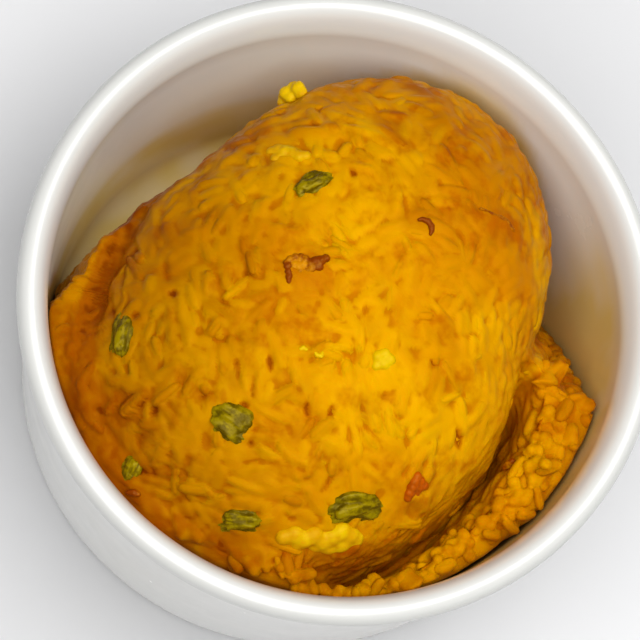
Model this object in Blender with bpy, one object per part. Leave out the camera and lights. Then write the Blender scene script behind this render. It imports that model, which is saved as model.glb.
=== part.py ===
"""A moulded mound of fried rice with loose rice round its foot, in its white deep bowl.

The origin is the middle of the bowl's foot, on the table, with +Z up. The mound is drawn in its
own plan axes: ACROSS it (u) and ALONG it (v), which are turned by MOUND_TURN from X and Y. Its
top is a height field in that plan: a rounded moulded dome, a groove round the dome's foot, and a
bed of loose rice that lies against the bowl's near side only.
"""

import itertools
import math
import random
from typing import NamedTuple

import bmesh
import bpy
import numpy as np
from mathutils import Matrix, Vector, noise
from mathutils.geometry import delaunay_2d_cdt

MM = 0.001
CLEARANCE = 0.35 * MM

# Bowl: turned about Z. Radii and heights of its outline.
BOWL_HEIGHT = 82 * MM
RIM_RADIUS = 75 * MM
LIP_THICKNESS = 6 * MM
WALL_TOP_OUTER = 71.5 * MM
WALL_TOP_INNER = 67 * MM
WALL_TOP_DROP = 11 * MM
HEEL_RADIUS = 66 * MM
HEEL_ROUND = 9 * MM
INNER_FLOOR_RADIUS = 61 * MM
INNER_ROUND = 12 * MM
FLOOR_THICKNESS = 6 * MM
FOOT_OUTER = 50 * MM
FOOT_INNER = 46 * MM
FOOT_HEIGHT = 2 * MM
SOLE_EDGE = 1.6 * MM
SOLE = 1.8 * MM
LIP_START_DEG = -35
SHARP_ANGLE = math.radians(50)
BOWL_SIDES = 64
RICE_FOOT = FLOOR_THICKNESS + 2 * MM

# Mound: plan axes, outline and heights. Heights are from the rim, down is negative.
MOUND_TURN = math.radians(-34)
DOME_CENTRE_ALONG = 6 * MM
DOME_FAR_LEFT = 46.6 * MM
DOME_FAR_RIGHT = 44.6 * MM
DOME_NEAR_LEFT = 51 * MM
DOME_NEAR_RIGHT = 47.8 * MM
DOME_FAR_ALONG = 55.7 * MM
DOME_NEAR_ALONG = 66 * MM
DOME_FAR_POWER = 2.0
DOME_NEAR_POWER = 2.4
DOME_BLEND = 12 * MM
DOME_TOP = 9 * MM
DOME_SHOULDER = -16 * MM
DOME_PROFILE_POWER = 2.15
DOME_SIDE_SLOPE = 5.0
FOOT_SOFTNESS = 5 * MM

BED_CREST = -14.5 * MM
BED_WAVE = 1.6 * MM
BED_WAVES_ROUND = (5, 11)
BED_WAVE_PHASES = (1.0, 2.0)
BED_WAVE_SHARES = (1.0, 0.6)
BED_LOW = -78 * MM
BED_RIGHT_EDGE = 17 * MM
BED_RIGHT_FALL = 42 * MM
BED_LEFT_EDGE = -9 * MM
BED_LEFT_FALL = 11 * MM
BED_SIDE_EDGE = -56.5 * MM
BED_SIDE_FALL = 7 * MM
BED_SIDE_END = -30 * MM

# The bed falls a little next to the wall, and down to the wall's foot in one crevice.
WALL_BAND = 4.5 * MM
WALL_DROP = 4 * MM
CREVICE_DROP = 26 * MM
CREVICE_ANGLE = math.radians(-9)
CREVICE_SPREAD = math.radians(15)

# The groove at the dome's foot: deep on the near right, a crease on the left, else filled.
GROOVE_FLAT = 2.5 * MM
GROOVE_RISE = 4.5 * MM
FOOT_FILL = 4 * MM
RIGHT_GROOVE_DEPTH = 30 * MM
RIGHT_GROOVE_ANGLE = math.radians(-24)
RIGHT_GROOVE_SPREAD = math.radians(50)
LEFT_GROOVE_DEPTH = 8 * MM
LEFT_GROOVE_ANGLE = math.radians(-162)
LEFT_GROOVE_SPREAD = math.radians(34)

# Grains of cooked rice, and the bumps that stand for them on the mound.
GRAIN_LENGTH = 6.2 * MM
GRAIN_THICKNESS = 2.5 * MM
GRAIN_HEIGHT = 2.1 * MM
GRAIN_BODY_SHARE = 0.27
GRAIN_RAISED = 0.7 * MM
GRAIN_TILT = 0.2
GRAIN_SIDES = 6
GRAIN_SCALES = (0.85, 1.2)
FUSED_GRAINS = 72
FUSED_SPACING = 9 * MM
FUSED_TRIES = 9000
BUMP_SPACING = 4.5 * MM
BUMP_HALF_LENGTH = 1.65 * MM
BUMP_HEIGHT = 0.8 * MM
BUMP_SCALES = (0.6, 1.4)
BUMP_END_SHARES = (0.6, 1.0)
BUMP_TRIES = 60000
VALLEY_SPACING = 2.6 * MM
VALLEY_DEPTH = 0.5 * MM
VALLEY_TRIES = 60000
HIDDEN_SPACING = 3.0
HIDDEN_BELOW = -38 * MM
HIDDEN_BEYOND = 15 * MM
WALL_ROOM = 1.8 * MM
EDGE_POINTS = 60
EDGE_MARGIN = 0.02
FUSED_MARGIN = 0.06
SKIRT_SHARES = (0.6, 0.3, 0.15, 0.06, 0.0)
PATHS = 180
PROFILE_SAMPLES = 600
SEED = 11


class Topping(NamedTuple):
    """One topping: its place on the mound, its size and its form. Lengths in mm."""

    name: str
    x: float
    y: float
    length: float
    width: float
    height: float
    turn: float  # degrees, anticlockwise from +X
    sink: float  # how far its middle lies under the rice's surface
    boxy: float  # 2 is a round lump, more is squarer


TOPPINGS = (
    Topping("green_1", -8.3, 26.4, 8.8, 5.0, 3.4, 32, 0.1, 2.6),
    Topping("green_2", -50.6, -8.7, 11.0, 6.0, 4.0, 84, 0.2, 2.8),
    Topping("green_3", -26.1, -30.1, 10.4, 8.0, 3.6, -38, 0.1, 3.0),
    Topping("green_4", 3.0, -47.7, 12.6, 7.2, 4.2, 12, 0.2, 2.6),
    Topping("green_5", -22.9, -51.1, 10.6, 5.8, 4.4, -6, 0.2, 2.2),
    Topping("green_6", -47.5, -38.6, 6.4, 4.8, 3.4, 60, 0.6, 2.4),
    Topping("carrot_1", 18.3, -42.0, 6.8, 5.2, 3.8, 74, 0.1, 3.0),
    Topping("egg_1", -5.6, -55.2, 21.0, 8.5, 5.6, 6, 0.2, 2.2),
    Topping("egg_2", -9.2, 52.6, 7.6, 5.4, 5.0, 20, -1.2, 2.6),
    Topping("egg_3", -13.3, 34.6, 10.6, 6.0, 3.4, 4, 0.5, 2.6),
    Topping("egg_4", 9.4, -14.0, 5.6, 5.0, 3.2, 40, 0.4, 2.6),
    Topping("browned_1", -10.1, 5.4, 9.8, 6.6, 3.6, -22, 0.2, 2.2),
)
TOPPING_UNEVEN = 0.35
TOPPING_RIPPLE = 1.7
TOPPING_SHIFT = (3.7, 1.3, 2.1)
TOPPING_RINGS = 6
TOPPING_SIDES = 8
POCKET_EXTRA = 0.4


def smooth_step(value):
    """0 below 0, 1 above 1 and a smooth rise between."""
    held = np.clip(value, 0.0, 1.0)
    return held * held * (3.0 - 2.0 * held)


def blend(first, second, share):
    return first + (second - first) * share


def clear_scene():
    for old in list(bpy.data.objects):
        bpy.data.objects.remove(old, do_unlink=True)


def new_object(name, mesh):
    made = bpy.data.objects.new(name, mesh)
    bpy.context.scene.collection.objects.link(made)
    return made


def plain_material(name, colour, roughness):
    material = bpy.data.materials.new(name)
    material.use_nodes = True
    shader = material.node_tree.nodes["Principled BSDF"]
    shader.inputs["Base Color"].default_value = (*colour, 1.0)
    shader.inputs["Roughness"].default_value = roughness
    shader.inputs["Metallic"].default_value = 0.0
    return material


def porcelain_material():
    return plain_material("white_porcelain", (0.86, 0.86, 0.84), 0.12)


def rice_material():
    return plain_material("golden_rice", (0.78, 0.36, 0.01), 0.42)


def greens_material():
    return plain_material("green_bean", (0.16, 0.22, 0.02), 0.38)


def carrot_material():
    return plain_material("carrot", (0.62, 0.11, 0.01), 0.4)


def egg_material():
    return plain_material("egg_yellow", (0.80, 0.55, 0.02), 0.4)


def browned_material():
    return plain_material("browned_bit", (0.32, 0.11, 0.01), 0.45)


# --- bowl ---------------------------------------------------------------------------------------


def arc(centre_r, centre_z, radius, start, end, steps):
    """Points on an arc in the (r, z) half plane, both ends included, angles in degrees."""
    angles = [math.radians(start + (end - start) * i / steps) for i in range(steps + 1)]
    return [(centre_r + radius * math.cos(a), centre_z + radius * math.sin(a)) for a in angles]


def inner_radius(z, room=0.0):
    """Radius at height z, some room in from the bowl's straight wall and the round at its foot."""
    top = BOWL_HEIGHT - WALL_TOP_DROP
    bottom = FLOOR_THICKNESS + INNER_ROUND
    share = (z - bottom) / (top - bottom)
    if share >= 0:
        return INNER_FLOOR_RADIUS + share * (WALL_TOP_INNER - INNER_FLOOR_RADIUS) - room
    round_radius = INNER_ROUND - room
    below = min(bottom - z, round_radius)
    return INNER_FLOOR_RADIUS - INNER_ROUND + math.sqrt(round_radius**2 - below**2)


def bowl_outline():
    """Outline in (r, z), from the middle underneath round the outside and lip to the floor."""
    lip_z = BOWL_HEIGHT - LIP_THICKNESS / 2
    lip_r = RIM_RADIUS - LIP_THICKNESS / 2
    points = [(0.0, FOOT_HEIGHT), (FOOT_INNER - FOOT_HEIGHT, FOOT_HEIGHT)]
    points += [(FOOT_INNER, 0.0), (FOOT_OUTER, 0.0)]
    points += [(FOOT_OUTER + FOOT_HEIGHT, SOLE_EDGE)]
    points += arc(HEEL_RADIUS - HEEL_ROUND, SOLE + HEEL_ROUND, HEEL_ROUND, -90, -5, 4)
    points += [(WALL_TOP_OUTER, BOWL_HEIGHT - WALL_TOP_DROP)]
    points += arc(lip_r, lip_z, LIP_THICKNESS / 2, LIP_START_DEG, 180, 7)
    points += [(WALL_TOP_INNER, BOWL_HEIGHT - WALL_TOP_DROP)]
    points += arc(
        INNER_FLOOR_RADIUS - INNER_ROUND, FLOOR_THICKNESS + INNER_ROUND, INNER_ROUND, 0, -90, 5
    )
    points += [(0.0, FLOOR_THICKNESS)]
    return points


def make_bowl():
    mesh = bpy.data.meshes.new("bowl")
    shape = bmesh.new()
    line = [shape.verts.new((r, 0.0, z)) for r, z in bowl_outline()]
    edges = [shape.edges.new(pair) for pair in zip(line, line[1:])]
    bmesh.ops.spin(
        shape,
        geom=line + edges,
        cent=(0, 0, 0),
        axis=(0, 0, 1),
        angle=math.tau,
        steps=BOWL_SIDES,
        use_merge=True,
    )
    bmesh.ops.remove_doubles(shape, verts=shape.verts, dist=0.01 * MM)
    bmesh.ops.recalc_face_normals(shape, faces=shape.faces)
    shape.to_mesh(mesh)
    shape.free()
    mesh.shade_smooth()
    mesh.set_sharp_from_angle(angle=SHARP_ANGLE)
    bowl = new_object("bowl", mesh)
    bowl.data.materials.append(porcelain_material())
    return bowl


# --- mound --------------------------------------------------------------------------------------


def to_plan(across, along):
    """World x and y of a place given across and along the mound."""
    turn_cos = math.cos(MOUND_TURN)
    turn_sin = math.sin(MOUND_TURN)
    return across * turn_cos - along * turn_sin, across * turn_sin + along * turn_cos


def to_mound(x, y):
    turn_cos = math.cos(MOUND_TURN)
    turn_sin = math.sin(MOUND_TURN)
    return x * turn_cos + y * turn_sin, -x * turn_sin + y * turn_cos


def dome_reach(across, along):
    """How far out a place lies on the dome: 0 at its middle, 1 on its outline."""
    offset = along - DOME_CENTRE_ALONG
    near = smooth_step(0.5 - offset / (2 * DOME_BLEND))
    left = blend(DOME_FAR_LEFT, DOME_NEAR_LEFT, near)
    right = blend(DOME_FAR_RIGHT, DOME_NEAR_RIGHT, near)
    half_across = np.where(across > 0.0, right, left)
    half_along = np.where(offset > 0, DOME_FAR_ALONG, DOME_NEAR_ALONG)
    power = blend(DOME_FAR_POWER, DOME_NEAR_POWER, near)
    total = np.abs(across / half_across) ** power + np.abs(offset / half_along) ** power
    return total ** (1 / power)


def dome_height(across, along):
    reach = dome_reach(across, along)
    inside = np.clip(1.0 - np.minimum(reach, 1.0) ** DOME_PROFILE_POWER, 0.0, 1.0)
    cap = DOME_SHOULDER + (DOME_TOP - DOME_SHOULDER) * np.sqrt(inside)
    below = np.maximum(reach - 1.0, 0.0) * DOME_NEAR_RIGHT * DOME_SIDE_SLOPE
    return cap - below


def angle_bump(angle, middle, spread):
    """1 at one angle, falling smoothly to 0 at the spread on both sides of it."""
    away = np.abs((angle - middle + math.pi) % math.tau - math.pi)
    return smooth_step(2.0 * (1.0 - away / spread))


def groove_depth(angle):
    right = angle_bump(angle, RIGHT_GROOVE_ANGLE, RIGHT_GROOVE_SPREAD)
    left = angle_bump(angle, LEFT_GROOVE_ANGLE, LEFT_GROOVE_SPREAD)
    deepest = (RIGHT_GROOVE_DEPTH + FOOT_FILL) * right + (LEFT_GROOVE_DEPTH + FOOT_FILL) * left
    return deepest - FOOT_FILL


def bed_presence(across, along):
    """1 where the loose rice lies at its full height, falling to 0 on the far side."""
    side = smooth_step(across / (2 * RIM_RADIUS) + 0.5)
    edge = blend(BED_LEFT_EDGE, BED_RIGHT_EDGE, side)
    fall = blend(BED_LEFT_FALL, BED_RIGHT_FALL, side)
    near = np.clip((edge + fall - along) / fall, 0.0, 1.0)
    ledge = smooth_step((across - BED_SIDE_EDGE + BED_SIDE_FALL) / BED_SIDE_FALL)
    against_wall = smooth_step((BED_SIDE_END - along) / BED_SIDE_FALL)
    return near * np.maximum(ledge, against_wall)


def bed_height(across, along):
    angle = np.arctan2(along, across)
    wave = 0.0
    for count, phase, share in zip(BED_WAVES_ROUND, BED_WAVE_PHASES, BED_WAVE_SHARES):
        wave = wave + BED_WAVE * share * np.sin(count * angle + phase)
    wall = inner_radius(BOWL_HEIGHT + BED_CREST)
    at_wall = smooth_step((np.hypot(across, along) - wall + WALL_BAND) / WALL_BAND)
    crevice = CREVICE_DROP * angle_bump(angle, CREVICE_ANGLE, CREVICE_SPREAD)
    outside = (dome_reach(across, along) - 1.0) * DOME_NEAR_RIGHT
    in_groove = 1.0 - smooth_step((outside - GROOVE_FLAT) / GROOVE_RISE)
    crest = BED_CREST + wave - (WALL_DROP + crevice) * at_wall - groove_depth(angle) * in_groove
    return BED_LOW + (crest - BED_LOW) * bed_presence(across, along)


def mound_height(x, y):
    """Height of the rice above the table at (x, y), without its bumps."""
    across, along = to_mound(x, y)
    dome = dome_height(across, along)
    bed = bed_height(across, along)
    joined = (dome + bed + np.sqrt((dome - bed) ** 2 + FOOT_SOFTNESS**2)) / 2
    return BOWL_HEIGHT + joined


def edge_reach(angle):
    """Distance from the dome's middle to the rice's edge, at the wall or on the bowl's floor."""
    centre = np.array(to_plan(0.0, DOME_CENTRE_ALONG))
    step = np.array([math.cos(angle), math.sin(angle)])
    radii = np.linspace(0.0, 2 * RIM_RADIUS, PROFILE_SAMPLES)
    x = centre[0] + radii * step[0]
    y = centre[1] + radii * step[1]
    height = mound_height(x, y)
    limit = np.array([inner_radius(min(z, BOWL_HEIGHT), CLEARANCE) for z in height])
    over = (np.hypot(x, y) > limit) | (height < RICE_FOOT)
    first = int(np.argmax(over))
    return float(radii[first - 1])


class MoundSheet:
    """The mound's top as a disc: 0 at the dome's middle and 1 at its edge, by length along it."""

    def __init__(self):
        self.centre = np.array(to_plan(0.0, DOME_CENTRE_ALONG))
        self.paths = [self.path(math.tau * i / PATHS) for i in range(PATHS)]

    def path(self, angle):
        reach = edge_reach(angle)
        radii = np.linspace(0.0, reach, PROFILE_SAMPLES)
        x = self.centre[0] + radii * math.cos(angle)
        y = self.centre[1] + radii * math.sin(angle)
        z = mound_height(x, y)
        lengths = np.concatenate([[0.0], np.cumsum(np.hypot(np.diff(radii), np.diff(z)))])
        return radii, lengths

    def spot(self, disc):
        """World point for a point of the disc, with its plan radius and the path's length."""
        share = min(math.hypot(disc[0], disc[1]), 1.0)
        angle = math.atan2(disc[1], disc[0]) % math.tau
        place = angle / math.tau * PATHS
        low = int(place) % PATHS
        between = place - int(place)
        ends = []
        for index in (low, (low + 1) % PATHS):
            radii, lengths = self.paths[index]
            ends.append((np.interp(share * lengths[-1], lengths, radii), lengths[-1]))
        radius = float(blend(ends[0][0], ends[1][0], between))
        length = float(blend(ends[0][1], ends[1][1], between))
        x = self.centre[0] + radius * math.cos(angle)
        y = self.centre[1] + radius * math.sin(angle)
        return Vector((x, y, float(mound_height(x, y)))), radius, length


def surface_normal(x, y, step=0.8 * MM):
    """Outward normal of the mound, over a grain's width."""
    slope_x = (mound_height(x + step, y) - mound_height(x - step, y)) / (2 * step)
    slope_y = (mound_height(x, y + step) - mound_height(x, y - step)) / (2 * step)
    return Vector((-float(slope_x), -float(slope_y), 1.0)).normalized()


def is_hidden(spot):
    """True on the deep far side and low in the groove, where few bumps are needed."""
    across, along = to_mound(spot.x, spot.y)
    deep = spot.z < BOWL_HEIGHT + HIDDEN_BELOW
    return deep or (spot.z < BOWL_HEIGHT + DOME_SHOULDER and along > HIDDEN_BEYOND)


class Crowd:
    """Points kept in cells, to ask quickly whether a place is clear of all of them."""

    def __init__(self, cell, points=()):
        self.cell = cell
        self.cells = {}
        for point in points:
            self.add(point)

    def key_of(self, point):
        return tuple(math.floor(value / self.cell) for value in point)

    def add(self, point):
        self.cells.setdefault(self.key_of(point), []).append(point)

    def is_clear(self, point, reach):
        middle = self.key_of(point)
        for shift in itertools.product((-1, 0, 1), repeat=3):
            key = tuple(middle[i] + shift[i] for i in range(3))
            if any((point - other).length < reach for other in self.cells.get(key, ())):
                return False
        return True


def spread_sites(sheet, rng, spacing, tries, taken=(), margin=0.0):
    """Places on the mound no closer than the spacing, more open where hidden."""
    sites = []
    crowd = Crowd(spacing * HIDDEN_SPACING, taken)
    for _ in range(tries):
        share = math.sqrt(rng.random()) * (1.0 - margin)
        angle = rng.random() * math.tau
        disc = (share * math.cos(angle), share * math.sin(angle))
        spot, radius, length = sheet.spot(disc)
        reach = spacing * (HIDDEN_SPACING if is_hidden(spot) else 1.0)
        if crowd.is_clear(spot, reach):
            crowd.add(spot)
            sites.append((disc, spot, radius, length))
    return sites


def bump_ends(site, rng):
    """Disc points of the two ends of one grain-shaped bump."""
    disc, _, radius, length = site
    share = max(math.hypot(*disc), 0.01)
    outward = (disc[0] / share, disc[1] / share)
    sideways = (-outward[1], outward[0])
    turn = rng.random() * math.pi
    along_path = BUMP_HALF_LENGTH * math.cos(turn) / length
    round_path = BUMP_HALF_LENGTH * math.sin(turn) * share / max(radius, share * length * 0.5)
    step = [outward[i] * along_path + sideways[i] * round_path for i in range(2)]
    return [(disc[0] + sign * step[0], disc[1] + sign * step[1]) for sign in (-1, 1)]


def edge_loop(sheet):
    """Disc points and world points of the rice's edge, evenly turned about the dome's middle."""
    loop = []
    for i in range(EDGE_POINTS):
        angle = math.tau * i / EDGE_POINTS
        disc = (math.cos(angle), math.sin(angle))
        loop.append((disc, sheet.spot(disc)[0]))
    return loop


def inside_bowl(point, room=CLEARANCE):
    """The point, moved in where it comes too near the wall."""
    limit = inner_radius(min(point.z, BOWL_HEIGHT - WALL_TOP_DROP), room)
    out = math.hypot(point.x, point.y)
    if out <= limit or point.z > BOWL_HEIGHT:
        return point
    return Vector((point.x * limit / out, point.y * limit / out, point.z))


def add_relief(shape, sheet, rng):
    """The bumpy top of the mound. It returns the edge's vertices, in order."""
    edge = edge_loop(sheet)
    discs = [disc for disc, _ in edge]
    lifts = [0.0] * EDGE_POINTS
    ridges = []
    bumps = spread_sites(sheet, rng, BUMP_SPACING, BUMP_TRIES, [p for _, p in edge], EDGE_MARGIN)
    for site in bumps:
        ridges.append((len(discs), len(discs) + 1))
        discs += bump_ends(site, rng)
        height = BUMP_HEIGHT * rng.uniform(*BUMP_SCALES)
        lifts += [height, height * rng.uniform(*BUMP_END_SHARES)]
    taken = [sheet.spot(disc)[0] for disc in discs]
    valleys = spread_sites(sheet, rng, VALLEY_SPACING, VALLEY_TRIES, taken, EDGE_MARGIN)
    discs += [disc for disc, _, _, _ in valleys]
    lifts += [-VALLEY_DEPTH] * len(valleys)
    rim = [(i, (i + 1) % EDGE_POINTS) for i in range(EDGE_POINTS)]
    flat, _, faces, sources, _, _ = delaunay_2d_cdt(
        [Vector(disc) for disc in discs], rim + ridges, [], 0, 1e-6
    )
    verts = []
    edge_verts = [None] * EDGE_POINTS
    for disc, origin in zip(flat, sources):
        first = origin[0] if origin else -1
        spot = sheet.spot(disc)[0]
        if 0 <= first < EDGE_POINTS:
            spot = edge[first][1]
        elif first >= 0:
            spot = inside_bowl(spot + surface_normal(spot.x, spot.y) * lifts[first])
        verts.append(shape.verts.new(spot))
        if 0 <= first < EDGE_POINTS:
            edge_verts[first] = verts[-1]
    for face in faces:
        shape.faces.new([verts[i] for i in face])
    return edge_verts


def add_underside(shape, edge_verts):
    """Closes the mound down the wall and across the bowl's floor."""
    floor = FLOOR_THICKNESS + CLEARANCE
    upper = edge_verts
    for share in SKIRT_SHARES:
        lower = []
        for vert in edge_verts:
            z = floor + (vert.co.z - floor) * share
            lower.append(shape.verts.new(inside_bowl(Vector((vert.co.x, vert.co.y, z)))))
        for i in range(len(upper)):
            j = (i + 1) % len(upper)
            shape.faces.new((upper[i], lower[i], lower[j], upper[j]))
        upper = lower
    middle = shape.verts.new((0.0, 0.0, floor))
    for i in range(len(upper)):
        shape.faces.new((upper[i], middle, upper[(i + 1) % len(upper)]))


def ring_points(x, half_width, half_height, sides):
    angles = [math.tau * i / sides for i in range(sides)]
    return [(x, math.cos(a) * half_width, math.sin(a) * half_height) for a in angles]


def grain_mesh(name, length):
    """One grain along X: two rings of few sides and two pointed ends."""
    mesh = bpy.data.meshes.new(name)
    shape = bmesh.new()
    ends = [shape.verts.new((sign * length / 2, 0, 0)) for sign in (-1, 1)]
    rings = []
    for sign in (-1, 1):
        ring = ring_points(
            sign * length * GRAIN_BODY_SHARE, GRAIN_THICKNESS / 2, GRAIN_HEIGHT / 2, GRAIN_SIDES
        )
        rings.append([shape.verts.new(point) for point in ring])
    for i in range(GRAIN_SIDES):
        j = (i + 1) % GRAIN_SIDES
        shape.faces.new((ends[0], rings[0][j], rings[0][i]))
        shape.faces.new((ends[1], rings[1][i], rings[1][j]))
        shape.faces.new((rings[0][i], rings[0][j], rings[1][j], rings[1][i]))
    bmesh.ops.recalc_face_normals(shape, faces=shape.faces)
    shape.to_mesh(mesh)
    shape.free()
    return mesh


def frame_at(spot, normal, turn):
    """Matrix that lays X along the surface at a turn, with Z along the normal."""
    side = normal.cross(Vector((0.0, 1.0, 0.0)))
    side = side.normalized() if side.length > 0.1 else Vector((1.0, 0.0, 0.0))
    ahead = Matrix.Rotation(turn, 3, normal) @ side
    matrix = Matrix((ahead, normal.cross(ahead), normal)).transposed().to_4x4()
    matrix.translation = spot
    return matrix


def fused_grain_matrices(sheet, rng, toppings):
    """Places of the grains that show most, clear of the wall and of the toppings."""
    sites = spread_sites(sheet, rng, FUSED_SPACING, FUSED_TRIES, (), FUSED_MARGIN)
    places = []
    for _, spot, _, _ in sites:
        turn = rng.random() * math.tau
        tilt = rng.uniform(-GRAIN_TILT, GRAIN_TILT)
        normal = surface_normal(spot.x, spot.y)
        raised = spot + normal * GRAIN_RAISED
        if is_hidden(spot) or near_topping(raised, toppings):
            continue
        ends = frame_at(raised, normal, turn) @ Matrix.Rotation(tilt, 4, "Y")
        tips = [ends @ Vector((sign * GRAIN_LENGTH / 2, 0, 0)) for sign in (-1, 1)]
        if all(inside_bowl(tip, WALL_ROOM) == tip for tip in tips + [raised]):
            places.append(ends)
    rng.shuffle(places)
    return places[:FUSED_GRAINS]


def near_topping(point, toppings):
    """True within a grain's half length of a topping's box."""
    room = GRAIN_LENGTH / 2 + CLEARANCE
    for topping in toppings:
        corners = [Vector(corner) for corner in topping.bound_box]
        low = [min(corner[i] for corner in corners) - room for i in range(3)]
        high = [max(corner[i] for corner in corners) + room for i in range(3)]
        if all(low[i] < point[i] < high[i] for i in range(3)):
            return True
    return False


def apply_boolean(target, operation, collection):
    """One Boolean with every object of a collection, applied, and the collection removed."""
    modifier = target.modifiers.new("join", "BOOLEAN")
    modifier.operation = operation
    modifier.operand_type = "COLLECTION"
    modifier.collection = collection
    modifier.solver = "MANIFOLD"
    bpy.context.view_layer.update()
    graph = bpy.context.evaluated_depsgraph_get()
    joined = bpy.data.meshes.new_from_object(target.evaluated_get(graph))
    target.modifiers.clear()
    target.data = joined
    for helper in list(collection.objects):
        bpy.data.objects.remove(helper, do_unlink=True)
    bpy.data.collections.remove(collection)


def helper_collection(name):
    made = bpy.data.collections.new(name)
    bpy.context.scene.collection.children.link(made)
    return made


def keep_largest_body(mesh):
    """Drops loose scraps and the walls of sealed hollows, and leaves triangles."""
    shape = bmesh.new()
    shape.from_mesh(mesh)
    bmesh.ops.triangulate(shape, faces=shape.faces)
    left = set(shape.verts)
    groups = []
    while left:
        group = {left.pop()}
        front = list(group)
        while front:
            for edge in front.pop().link_edges:
                for vert in edge.verts:
                    if vert in left:
                        left.discard(vert)
                        group.add(vert)
                        front.append(vert)
        groups.append(group)
    groups.sort(key=len)
    scraps = [vert for group in groups[:-1] for vert in group]
    bmesh.ops.delete(shape, geom=scraps, context="VERTS")
    bmesh.ops.recalc_face_normals(shape, faces=shape.faces)
    shape.to_mesh(mesh)
    shape.free()


def make_rice(toppings):
    rng = random.Random(SEED)
    sheet = MoundSheet()
    shape = bmesh.new()
    edge_verts = add_relief(shape, sheet, rng)
    add_underside(shape, edge_verts)
    bmesh.ops.recalc_face_normals(shape, faces=shape.faces)
    mesh = bpy.data.meshes.new("rice")
    shape.to_mesh(mesh)
    shape.free()
    rice = new_object("rice", mesh)

    grains = helper_collection("grains_to_fuse")
    for i, matrix in enumerate(fused_grain_matrices(sheet, rng, toppings)):
        grain_shape = grain_mesh(f"grain_{i}", GRAIN_LENGTH * rng.uniform(*GRAIN_SCALES))
        grain = bpy.data.objects.new(f"grain_{i}", grain_shape)
        grain.matrix_world = matrix
        grains.objects.link(grain)
    apply_boolean(rice, "UNION", grains)

    pockets = helper_collection("topping_pockets")
    for topping in toppings:
        pockets.objects.link(pocket_for(topping))
    apply_boolean(rice, "DIFFERENCE", pockets)
    keep_largest_body(rice.data)
    rice.data.materials.clear()
    rice.data.materials.append(rice_material())
    return rice


# --- toppings -----------------------------------------------------------------------------------


def lump(topping, seed):
    """An uneven rounded lump about the origin, with its own ripples."""
    mesh = bpy.data.meshes.new(topping.name)
    shape = bmesh.new()
    bmesh.ops.create_uvsphere(
        shape, u_segments=TOPPING_SIDES, v_segments=TOPPING_RINGS, radius=1.0
    )
    half_size = (topping.length * MM / 2, topping.width * MM / 2, topping.height * MM / 2)
    shift = Vector(TOPPING_SHIFT) * seed
    for vert in shape.verts:
        direction = vert.co.normalized()
        swell = 1.0 + TOPPING_UNEVEN * noise.noise(direction * TOPPING_RIPPLE + shift)
        boxed = [math.copysign(abs(c) ** (2.0 / topping.boxy), c) for c in direction]
        vert.co = Vector([boxed[i] * half_size[i] * swell for i in range(3)])
    bmesh.ops.triangulate(shape, faces=shape.faces)
    shape.to_mesh(mesh)
    shape.free()
    return mesh


def place_topping(topping, seed, material):
    """Stands a topping on the mound at its plan place, turned and partly sunk."""
    x = topping.x * MM
    y = topping.y * MM
    normal = surface_normal(x, y, GRAIN_LENGTH / 2)
    spot = Vector((x, y, float(mound_height(x, y))))
    mesh = lump(topping, seed)
    mesh.transform(frame_at(spot - normal * topping.sink * MM, normal, math.radians(topping.turn)))
    mesh.materials.append(material)
    mesh.shade_smooth()
    return new_object(topping.name, mesh)


def pocket_for(topping):
    """The topping's own shape, swollen by the clearance, to cut its pocket."""
    shape = bmesh.new()
    shape.from_mesh(topping.data)
    middle = sum((vert.co for vert in shape.verts), Vector()) / len(shape.verts)
    moves = []
    for vert in shape.verts:
        outward = (vert.co - middle).normalized()
        moves.append((vert, (vert.normal + outward * POCKET_EXTRA) * CLEARANCE))
    for vert, move in moves:
        vert.co += move
    mesh = bpy.data.meshes.new(f"{topping.name}_pocket")
    shape.to_mesh(mesh)
    shape.free()
    return bpy.data.objects.new(f"{topping.name}_pocket", mesh)


def make_toppings():
    makers = {
        "green": greens_material,
        "carrot": carrot_material,
        "egg": egg_material,
        "browned": browned_material,
    }
    made = []
    for seed, topping in enumerate(TOPPINGS, start=1):
        kind = topping.name.split("_")[0]
        made.append(place_topping(topping, seed, makers[kind]()))
    return made


def main():
    clear_scene()
    make_bowl()
    make_rice(make_toppings())


if __name__ == "__main__":
    main()
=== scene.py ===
"""Golden fried rice, moulded into a dome, in its deep white bowl.

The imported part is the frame. This script makes what shows: a smoother glazed bowl, the mound's
own core, thousands of cooked grains pressed into it and scattered round it, and the bits of green
bean, carrot, egg and browned rice among them. Everything is in metres, in the part's frame: the
origin is the middle of the bowl's foot on the table and +Z is up. Tables are in millimetres.
"""

import math
import random

import bmesh
import bpy
import numpy as np
from mathutils import Matrix, Vector, noise
from mathutils.kdtree import KDTree


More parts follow.
